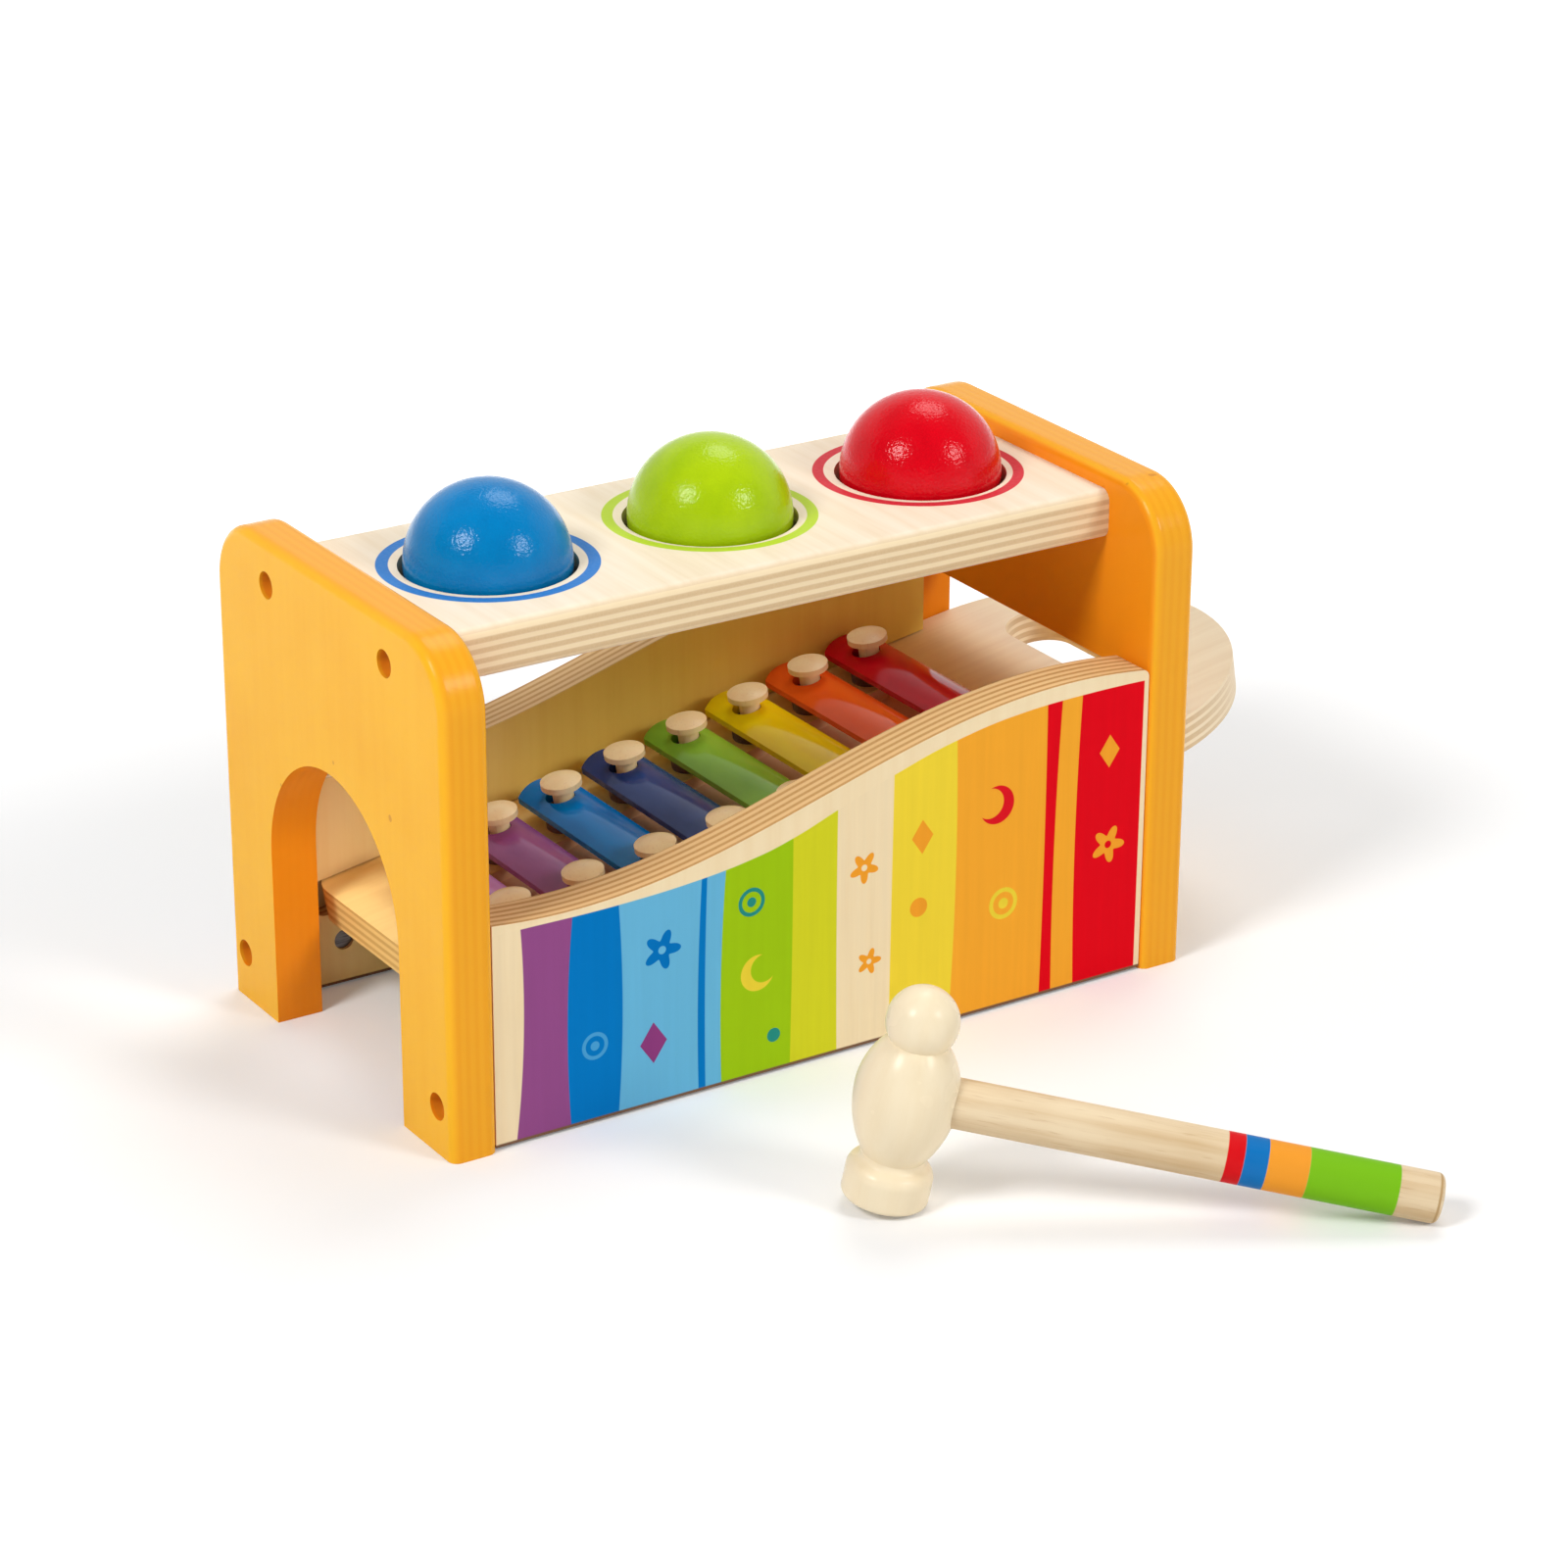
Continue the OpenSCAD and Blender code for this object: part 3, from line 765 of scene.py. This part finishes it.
@dataclass(frozen=True)
class BallLacquer(Finish):
    """Glossy coloured lacquer on a turned ball, with a faint unevenness in its gloss."""

    colour: Colour = (255, 255, 255)
    deep: Colour = (0, 0, 0)
    gloss: float = 0.18

    def material(self) -> Material:
        """Make the lacquer.

        Returns:
            The material.
        """
        g = Graph(self.name)
        point = g.where(Place())
        clouds = g.noise(point, 45.0, 3.0)
        fibres = g.noise(point, (160.0, 160.0, 90.0), 3.0)
        uneven = g.weigh(fibres, 0.3, g.times(clouds, 0.6))
        peel = g.weigh(fibres, 0.25, g.noise(point, 1150.0, 1.0))
        return g.surface(
            Base_Color=g.blend(uneven, 0.3, 0.68, self.colour, self.deep),
            Roughness=g.spread(fibres, 0.13, 0.2),
            Specular_IOR_Level=self.gloss,
            Normal=g.bump(peel, 0.15 * MM, 0.85),
        )


@dataclass(frozen=True)
class BarEnamel(Finish):
    """Glossy enamel on a pressed metal bar, faintly clouded; its middle and half in millimetres."""

    colour: Colour = (255, 255, 255)
    deep: Colour = (0, 0, 0)
    place: Place = Place()
    middle: float = 0.0
    half: float = 8.5
    gloss: float = 0.17

    def material(self) -> Material:
        """Make the enamel, with the press's stronger swell along the middle.

        Returns:
            The material.
        """
        g = Graph(self.name)
        point = g.where(self.place)
        off = g.weigh(g.split(point)[0], 1.0 / (self.half * MM), -self.middle / self.half)
        clouds = g.noise(point, (90.0, 30.0, 90.0), 3.0)
        dust = g.noise(point, 1600.0, 1.0)
        swell = g.times(g.times(off, off), -1.0)
        return g.surface(
            Base_Color=g.blend(clouds, 0.3, 0.72, self.colour, self.deep),
            Roughness=g.spread(clouds, 0.07, 0.12),
            Specular_IOR_Level=self.gloss,
            Normal=g.bump(g.weigh(dust, 0.006, swell), 1.1 * MM),
        )


@dataclass(frozen=True)
class TurnedBeech(Wood):
    """Clear-lacquered turned beech: cream, with long streaks and short flecks along the fibre."""

    fleck: Colour = (205, 168, 118)
    fleck_share: float = 0.25

    def wood(self, g: Graph) -> tuple[Socket, Socket, Socket]:
        """Lay out fibres along the place's Z.

        Args:
            g: the graph to build in.

        Returns:
            The wood's colour, its relief and the point in the wood's own axes.
        """
        point = g.where(self.place)
        rings = g.noise(point, (170.0, 170.0, 7.0), 4.0, 0.6)
        pores = g.noise(point, (1300.0, 1300.0, 95.0))
        figure = g.weigh(g.noise(point, 30.0), 0.3, g.times(rings, 0.7))
        body = g.blend(figure, 0.35, 0.7, self.pale, self.streak)
        short = g.times(g.step(pores, 0.58, 0.74), self.fleck_share)
        return g.mix(short, body, linear(self.fleck)), g.weigh(pores, -0.5, rings), point


@dataclass(frozen=True)
class PaintBand:
    """One painted band of a rod, from start to end in millimetres along it."""

    start: float
    end: float
    colour: Colour


@dataclass(frozen=True)
class BandedBeech(TurnedBeech):
    """A beech rod with painted bands; the place's Z runs along the rod."""

    bands: tuple[PaintBand, ...] = ()
    soft: float = 0.15 * MM

    def material(self) -> Material:
        """Make the wood and paint its bands.

        Returns:
            The material.
        """
        g = Graph(self.name)
        colour, relief, point = self.wood(g)
        along = g.split(point)[2]
        brush = g.spread(g.noise(point, (300.0, 300.0, 40.0)), 0.97, 1.0)
        for band in self.bands:
            painted = g.times(g.band(along, band.start * MM, band.end * MM, self.soft), brush)
            colour = g.mix(painted, colour, linear(band.colour))
        return self.close(g, colour, relief, point)


@dataclass(frozen=True)
class Felt(Finish):
    """Dark pressed felt."""

    colour: Colour = (110, 72, 60)
    lint: Colour = (138, 96, 80)

    def material(self) -> Material:
        """Make the felt.

        Returns:
            The material.
        """
        g = Graph(self.name)
        fuzz = g.noise(g.where(Place()), 2600.0, 4.0, 0.7)
        return g.surface(
            Base_Color=g.blend(fuzz, 0.35, 0.75, self.colour, self.lint),
            Roughness=0.95,
            Specular_IOR_Level=0.15,
            Sheen_Weight=0.3,
            Normal=g.bump(fuzz, 0.4 * MM, 0.8),
        )


@dataclass(frozen=True)
class Rubber(Finish):
    """Black rubber with a dull bloom."""

    colour: Colour = (32, 30, 30)
    bloom: Colour = (62, 58, 56)

    def material(self) -> Material:
        """Make the rubber.

        Returns:
            The material.
        """
        g = Graph(self.name)
        clouds = g.noise(g.where(Place()), 240.0, 3.0)
        return g.surface(
            Base_Color=g.blend(clouds, 0.4, 0.75, self.colour, self.bloom),
            Roughness=g.spread(clouds, 0.5, 0.68),
            Specular_IOR_Level=0.35,
            Normal=g.bump(clouds, 0.05 * MM, 0.4),
        )


@dataclass(frozen=True)
class Steel(Finish):
    """Zinc-plated steel with fine marks along X."""

    colour: Colour = (196, 198, 202)
    dull: Colour = (150, 152, 158)

    def material(self) -> Material:
        """Make the steel.

        Returns:
            The material.
        """
        g = Graph(self.name)
        marks = g.noise(g.where(Place()), (150.0, 1800.0, 1800.0))
        return g.surface(
            Base_Color=g.blend(marks, 0.35, 0.7, self.colour, self.dull),
            Metallic=1.0,
            Roughness=g.spread(marks, 0.26, 0.42),
            Normal=g.bump(marks, 0.02 * MM, 0.4),
        )


@dataclass(frozen=True)
class EasedCopy:
    """A merged copy of a solid whose sharp edges are lightly rounded; angles are in degrees."""

    width: float = 0.5 * MM
    segments: int = 3
    sharp: float = 32.0
    merge: float = 0.002 * MM
    flat: float = 0.4
    face_weight: int = 60

    def make(self, node: bpy.types.Object, body: str, slot: str) -> bpy.types.Object:
        """Copy a solid, round its edges and let the copy stand for it.

        Args:
            node: the solid's object.
            body: the body that the copy rides on.
            slot: not used.

        Returns:
            The copy.
        """
        name = f"{node.name}_eased"
        mesh = bpy.data.meshes.new(name)
        bm = bmesh.new()
        bm.from_mesh(node.data)
        bmesh.ops.remove_doubles(bm, verts=bm.verts, dist=self.merge)
        flat = {"angle_limit": math.radians(self.flat), "use_dissolve_boundaries": False}
        bmesh.ops.dissolve_limit(bm, verts=bm.verts, edges=bm.edges, **flat)
        for face in bm.faces:
            face.smooth = True
        bm.to_mesh(mesh)
        bm.free()
        piece = bpy.data.objects.new(name, mesh)
        bpy.context.scene.collection.objects.link(piece)
        rounding = piece.modifiers.new("rounding", "BEVEL")
        rounding.width = self.width
        rounding.segments = self.segments
        rounding.limit_method = "ANGLE"
        rounding.angle_limit = math.radians(self.sharp)
        rounding.use_clamp_overlap = True
        piece.modifiers.new("even_shading", "WEIGHTED_NORMAL").weight = self.face_weight
        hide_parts(node.name)
        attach(piece, body)
        return piece


@dataclass
class Assembly:
    """Shared work of the sub-assemblies: dressing solids and rounding their edges."""

    nodes: dict[str, bpy.types.Object]
    body: str

    def dress(
        self, name: str, finish: Finish, eased: EasedCopy | None = None, slot: str = ""
    ) -> None:
        """Give a solid its finish.

        Args:
            name: the solid's name.
            finish: the finish to put on it.
            eased: how to round its edges; the solid itself is dressed where this is None.
            slot: passed on to the rounded copy, which does not use it.
        """
        piece = self.nodes[name]
        made = finish.material()
        if eased is not None:
            piece = eased.make(piece, self.body, slot)
            piece.data.materials.append(made)
        else:
            for place in piece.material_slots:
                place.material = made
        log.info("%s: %s", piece.name, finish.name)


@dataclass
class BenchBody(Assembly):
    """The end panels, side panels, top board and what holds them together."""

    body: str = "bench"
    side_pair: float = 2.77 * MM
    rings: tuple[HoleRing, ...] = (
        HoleRing(-HOLE_PITCH + 0.4 * MM, 0.7 * MM, (8, 120, 200), outside=31.6 * MM),
        HoleRing(0.9 * MM, 1.6 * MM, (186, 214, 40)),
        HoleRing(HOLE_PITCH, 1.2 * MM, (210, 8, 46)),
    )
    upper_edge: tuple[Pair, ...] = (
        (-120.0, 65.6), (-101.6, 65.4), (-70.3, 65.2), (-43.0, 66.6),
        (-24.5, 69.1), (-13.2, 71.9), (2.0, 77.2), (21.1, 83.6),
        (42.7, 89.5), (63.9, 92.8), (86.3, 93.9), (120.0, 93.4),
    )

    def stripes(self) -> tuple[Stripe, ...]:
        """List the print's stripes.

        Returns:
            The stripes from left to right.
        """
        purple, blue, sky = (146, 77, 136), (0, 119, 194), (104, 182, 220)
        green, lime, yellow = (158, 198, 18), (212, 212, 38), (242, 214, 58)
        orange, red = (246, 169, 48), (226, 4, 24)
        return (
            Stripe(None, -104.1, -100.9, -104.1),
            Stripe(purple, -86.4, -86.8, -81.8),
            Stripe(blue, -71.1, -69.5, -72.8),
            Stripe(sky, -44.7, -44.5, -41.6),
            Stripe(blue, -42.4, -42.3, -40.5),
            Stripe(sky, -37.1, -36.9, -33.3),
            Stripe(green, -14.0, -13.3, -13.2),
            Stripe(lime, 2.1, 1.7, 2.0),
            Stripe(None, 20.1, 20.5, 21.0),
            Stripe(yellow, 41.2, 42.9, 42.5),
            Stripe(orange, 73.7, 74.3, 74.2),
            Stripe(red, 78.0, 77.8, 79.3),
            Stripe(orange, 86.1, 85.3, 86.4),
            Stripe(red, 108.6, 108.7, 108.9),
        )

    def figures(self) -> tuple[Figure, ...]:
        """List the print's small figures.

        Returns:
            The figures, roughly from left to right.
        """
        sky, blue, purple = (72, 158, 210), (0, 114, 190), (141, 60, 124)
        teal, yellow = (38, 140, 130), (236, 210, 58)
        orange, red = (243, 160, 44), (222, 20, 34)
        return (
            Figure(FigureKind.HOOP, -78.5, 24.0, 4.2, sky),
            Figure(FigureKind.FLOWER, -56.5, 48.0, 6.2, blue, 20.0),
            Figure(FigureKind.DIAMOND, -59.5, 20.0, 6.4, purple),
            Figure(FigureKind.CRESCENT, -25.0, 33.0, 5.6, yellow, 25.0),
            Figure(FigureKind.HOOP, -27.0, 55.5, 4.4, teal),
            Figure(FigureKind.DOT, -19.5, 12.0, 2.2, teal),
            Figure(FigureKind.FLOWER, 11.0, 57.0, 5.0, orange, 90.0),
            Figure(FigureKind.FLOWER, 13.0, 27.0, 4.2, orange),
            Figure(FigureKind.DIAMOND, 31.0, 62.0, 5.4, orange),
            Figure(FigureKind.DOT, 30.0, 40.0, 3.0, orange),
            Figure(FigureKind.CRESCENT, 57.0, 66.0, 6.0, red, 160.0),
            Figure(FigureKind.HOOP, 60.0, 34.0, 5.0, yellow),
            Figure(FigureKind.FLOWER, 97.5, 44.0, 6.0, orange, 40.0),
            Figure(FigureKind.DIAMOND, 97.0, 74.0, 5.2, orange),
        )

    def dress_ends(self) -> None:
        """Dress the end panels and the top board between them."""
        for end, sign in (("left", -1), ("right", 1)):
            place = Place((sign * END_FACE, 0, 0), (0, sign * 90, 0))
            lacquer = PanelLacquer(f"{end}_lacquer", place)
            self.dress(f"{end}_end_panel", lacquer, EasedCopy(0.8 * MM), "orange_lacquer")
        top = RingedPly(
            "ringed_top_ply",
            Place((0, 0, TOP_FACE)),
            shares=(-0.45, 0.6),
            pale=(249, 234, 211), streak=(240, 220, 190), edge_tone=(241, 219, 178),
            rings=self.rings,
        )
        self.dress("top_board", top, EasedCopy(0.4 * MM), "birch_ply")

    def dress_sides(self) -> None:
        """Dress the front and back panels."""
        shared = {"pair": self.side_pair, "stripes": self.stripes(), "upper_edge": self.upper_edge}
        front = PrintedPly(
            "printed_front_ply",
            Place((0, -SIDE_FACE, 0), (90, 0, 0)),
            pale=(246, 226, 187), streak=(241, 217, 174),
            edge_tone=(231, 193, 135), end_grain=(189, 137, 75),
            gloss=0.03,
            figures=self.figures(),
            **shared,
        )
        # painted light: the back ply's paler tones lift its inner face, which lies in shade
        back = PrintedPly(
            "printed_back_ply",
            Place((0, SIDE_FACE, 0), (-90, 0, 0)),
            pale=(252, 238, 206), streak=(247, 228, 190),
            edge_tone=(228, 191, 136), end_grain=(188, 138, 78),
            **shared,
        )
        self.dress("front_panel", front, EasedCopy(), "birch_ply")
        self.dress("back_panel", back, EasedCopy(), "birch_ply")

    def build(self) -> None:
        """Dress the bench's solids."""
        self.dress_ends()
        self.dress_sides()
        for name in ("grip_ring_blue", "grip_ring_green", "grip_ring_red"):
            self.dress(name, Rubber(f"{name}_rubber"))
        for name in ("top_board_screws", "side_panel_bolts"):
            self.dress(name, Steel(f"{name}_zinc"))
        # painted shade: the barrel nuts' darker steel stands for the shade in their recesses
        self.dress("barrel_nuts", Steel("barrel_nut_shaded_steel", (126, 122, 124), (92, 90, 94)))
        self.dress("locating_dowels", TurnedBeech("dowel_beech", Place(turn=(0, 90, 0))))


@dataclass
class XylophoneDeck(Assembly):
    """The sliding board with its bars, felts and pegs; the bars lie at places in millimetres."""

    body: str = "xylophone"
    board_pair: float = 2.9 * MM
    first_bar: float = -80.97
    bar_pitch: float = 23.25
    bars: Paints = (
        ("lilac", (200, 134, 192), (186, 116, 180)),
        ("purple", (165, 92, 152), (146, 75, 136)),
        ("blue", (2, 139, 226), (0, 121, 206)),
        ("navy", (55, 79, 146), (44, 63, 124)),
        ("green", (144, 200, 64), (128, 184, 53)),
        ("yellow", (255, 231, 15), (247, 213, 7)),
        ("orange", (255, 107, 32), (245, 93, 23)),
        ("red", (217, 8, 35), (195, 4, 28)),
    )

    def build(self) -> None:
        """Dress the deck's solids."""
        deck = Place((0, 0, BOARD_RISE), (0, -BOARD_SLOPE, 0))
        ply = TroughPly(
            "deck_ply", deck, pair=self.board_pair, fibre_across=False, pale=(255, 244, 218)
        )
        self.dress("xylophone_board", ply, EasedCopy(), "birch_ply")
        for number, (name, colour, deep) in enumerate(self.bars):
            middle = self.first_bar + number * self.bar_pitch
            enamel = BarEnamel(f"bar_{name}_enamel", colour, deep, deck, middle)
            self.dress(f"tone_bar_{name}", enamel)
        pegs = TurnedBeech(
            "peg_beech",
            deck,
            pale=(255, 231, 180), streak=(249, 217, 162), fleck=(214, 170, 116),
            fleck_share=0.3, roughness=0.3, gloss=0.2,
        )
        self.dress("back_row_pegs", pegs)
        self.dress("front_row_pegs", pegs)
        self.dress("felt_cushions", Felt("bar_felt"))


@dataclass
class Balls(Assembly):
    """The three loose balls, each a body of its own."""

    body: str = ""
    colours: Paints = (
        ("blue", (0, 126, 190), (0, 113, 176)),
        ("green", (174, 204, 14), (158, 192, 8)),
        ("red", (222, 2, 24), (206, 0, 20)),
    )

    def build(self) -> None:
        """Dress the balls."""
        for name, colour, deep in self.colours:
            self.dress(f"ball_{name}", BallLacquer(f"ball_{name}_lacquer", colour, deep))


@dataclass
class Hammer(Assembly):
    """The turned hammer that lies in front of the bench."""

    body: str = "hammer"
    origin: Triple = (-31.5 * MM, -150.7 * MM, 33.324 * MM)
    turn: float = -36.1
    lean: float = 10.515
    bands: tuple[PaintBand, ...] = (
        PaintBand(86.95, 91.7, (214, 4, 22)),
        PaintBand(91.7, 98.2, (0, 112, 184)),
        PaintBand(98.2, 109.45, (238, 154, 46)),
        PaintBand(109.45, 134.2, (118, 186, 22)),
        # painted shade: a thin darker ring at the handle's rounded end
        PaintBand(145.0, 145.7, (186, 152, 106)),
    )

    def build(self) -> None:
        """Dress the head and the handle."""
        head = TurnedBeech(
            "hammer_head_beech",
            Place(self.origin, (0, self.lean, self.turn)),
            pale=(243, 227, 195), streak=(240, 222, 187), fleck=(230, 204, 164),
            fleck_share=0.06, roughness=0.25, gloss=0.22,
        )
        rod = BandedBeech(
            "hammer_handle_beech",
            Place(self.origin, (0, self.lean + 90, self.turn)),
            pale=(232, 211, 176), streak=(206, 175, 132), fleck=(184, 144, 102),
            fleck_share=0.38, gloss=0.03,
            bands=self.bands,
        )
        self.dress("hammer_head", head)
        self.dress("hammer_handle", rod)


@dataclass(frozen=True)
class Softbox:
    """One soft lamp: where its light comes from, how far off, how wide and how strong."""

    name: str
    direction: Triple
    distance: float
    width: float
    watts: float

    def place(self, aim: Vector) -> None:
        """Put the lamp up.

        Args:
            aim: the point that it shines on.
        """
        data = bpy.data.lights.new(self.name, "AREA")
        data.shape = "DISK"
        data.size = self.width
        data.energy = self.watts
        lamp = bpy.data.objects.new(self.name, data)
        bpy.context.scene.collection.objects.link(lamp)
        away = Vector(self.direction).normalized()
        lamp.location = aim + away * self.distance
        lamp.rotation_euler = away.to_track_quat("Z", "Y").to_euler()


@dataclass
class Studio:
    """The floor, the lamps, the white surroundings and the camera."""

    eye: Triple = (-0.66325, -1.07084, 0.60153)
    right: Triple = (0.84206, -0.53936, 0.00477)
    down: Triple = (-0.20875, -0.33404, -0.91915)
    ahead: Triple = (0.49735, 0.77299, -0.39387)
    focal_pixels: float = 4747.6
    frame_pixels: float = 1600.0
    sensor: float = 36.0
    clip: Pair = (0.05, 60.0)
    floor_reach: float = 9.0
    floor_sides: int = 96
    floor_grey: float = 0.86
    floor_middle: Triple = (-0.08, -0.12, 0.0)
    floor_fade: Pair = (0.24, 1.1)
    floor_glow: Pair = (0.1, 1.0)
    ambient: float = 0.36
    beyond: Pair = (-0.15, 0.2)
    backdrop: float = 0.42
    wall_top: Pair = (0.36, 0.18)
    ceiling: Pair = (0.12, 0.45)
    aim: Triple = (0.0, 0.0, 0.08)
    lamps: tuple[Softbox, ...] = (
        Softbox("left_softbox", (-0.70, -0.19, 0.69), 2.0, 0.6, 19.7),
        Softbox("right_softbox", (0.38, -0.75, 0.54), 4.2, 1.2, 58.5),
        Softbox("back_softbox", (0.38, 0.31, 0.87), 3.5, 1.7, 34.0),
    )

    def camera(self) -> None:
        """Put the camera where the photograph was taken from."""
        data = bpy.data.cameras.new("camera")
        data.sensor_width = self.sensor
        data.lens = self.focal_pixels / self.frame_pixels * self.sensor
        data.clip_start, data.clip_end = self.clip
        camera = bpy.data.objects.new("camera", data)
        bpy.context.scene.collection.objects.link(camera)
        axes = Matrix((self.right, tuple(-v for v in self.down), tuple(-v for v in self.ahead)))
        camera.matrix_world = Matrix.Translation(self.eye) @ axes.transposed().to_4x4()
        bpy.context.scene.camera = camera

    def seen(self, g: Graph) -> Socket:
        """Tell what is looked at from what lights the object.

        Args:
            g: the graph to build in.

        Returns:
            1 for what the camera sees, itself or in gloss or glass, and 0 for light on the object.
        """
        path = g.node("ShaderNodeLightPath", {})
        total = path.outputs["Is Camera Ray"]
        for name in ("Is Glossy Ray", "Is Transmission Ray"):
            total = g.math("MAXIMUM", total, path.outputs[name])
        return total

    def close(self, g: Graph, lit: bpy.types.Node, shown: bpy.types.Node) -> None:
        """Close a graph with one shader that lights the object and one that is looked at.

        Args:
            g: the graph to close.
            lit: the shader that lights the object.
            shown: the shader that is looked at.
        """
        inputs = {0: self.seen(g), 1: lit.outputs[0], 2: shown.outputs[0]}
        both = g.node("ShaderNodeMixShader", inputs)
        g.tree.links.new(both.outputs[0], g.output.inputs["Surface"])

    def floor(self) -> None:
        """Lay the pale floor, which goes to white at a distance."""
        mesh = bpy.data.meshes.new("floor")
        bm = bmesh.new()
        bmesh.ops.create_circle(
            bm, cap_ends=True, cap_tris=False, segments=self.floor_sides, radius=self.floor_reach
        )
        bm.to_mesh(mesh)
        bm.free()
        floor = bpy.data.objects.new("floor", mesh)
        bpy.context.scene.collection.objects.link(floor)
        g = Graph("floor_white")
        grey = (self.floor_grey, self.floor_grey, self.floor_grey, 1.0)
        matt = g.node("ShaderNodeBsdfDiffuse", {"Color": grey})
        x, y, _ = g.split(g.where(Place(self.floor_middle)))
        strength = g.spread(g.step(g.away(x, y), *self.floor_fade), *self.floor_glow)
        glow = g.node("ShaderNodeEmission", {"Color": WHITE, "Strength": strength})
        self.close(g, matt, g.node("ShaderNodeAddShader", {0: matt.outputs[0], 1: glow.outputs[0]}))
        mesh.materials.append(g.material)

    def surroundings(self) -> None:
        """Make the surroundings even in light, and white to look at below a dimmer ceiling."""
        world = bpy.data.worlds.new("surroundings")
        bpy.context.scene.world = world
        g = Graph("surroundings", world)
        x, y, z = g.split(g.node("ShaderNodeTexCoord", {}).outputs["Generated"])
        forward = g.weigh(x, self.ahead[0], g.times(y, self.ahead[1]))
        beyond = g.step(forward, *self.beyond)
        wall = g.step(g.weigh(beyond, -self.backdrop, z), *self.wall_top)
        level = g.math("MAXIMUM", wall, g.spread(beyond, *self.ceiling))
        lit = g.node("ShaderNodeBackground", {"Color": WHITE, "Strength": self.ambient})
        self.close(g, lit, g.node("ShaderNodeBackground", {"Color": WHITE, "Strength": level}))

    def build(self) -> None:
        """Set up the studio."""
        self.camera()
        self.floor()
        self.surroundings()
        for lamp in self.lamps:
            lamp.place(Vector(self.aim))
        bpy.context.scene.view_settings.view_transform = "Standard"


def main() -> None:
    """Load the solids, dress each sub-assembly and set up the studio."""
    logging.basicConfig(level=logging.INFO, format="%(message)s")
    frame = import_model()
    nodes = frame["nodes"]
    for assembly in (BenchBody(nodes), XylophoneDeck(nodes), Balls(nodes), Hammer(nodes)):
        assembly.build()
    Studio().build()


if __name__ == "__main__":
    main()
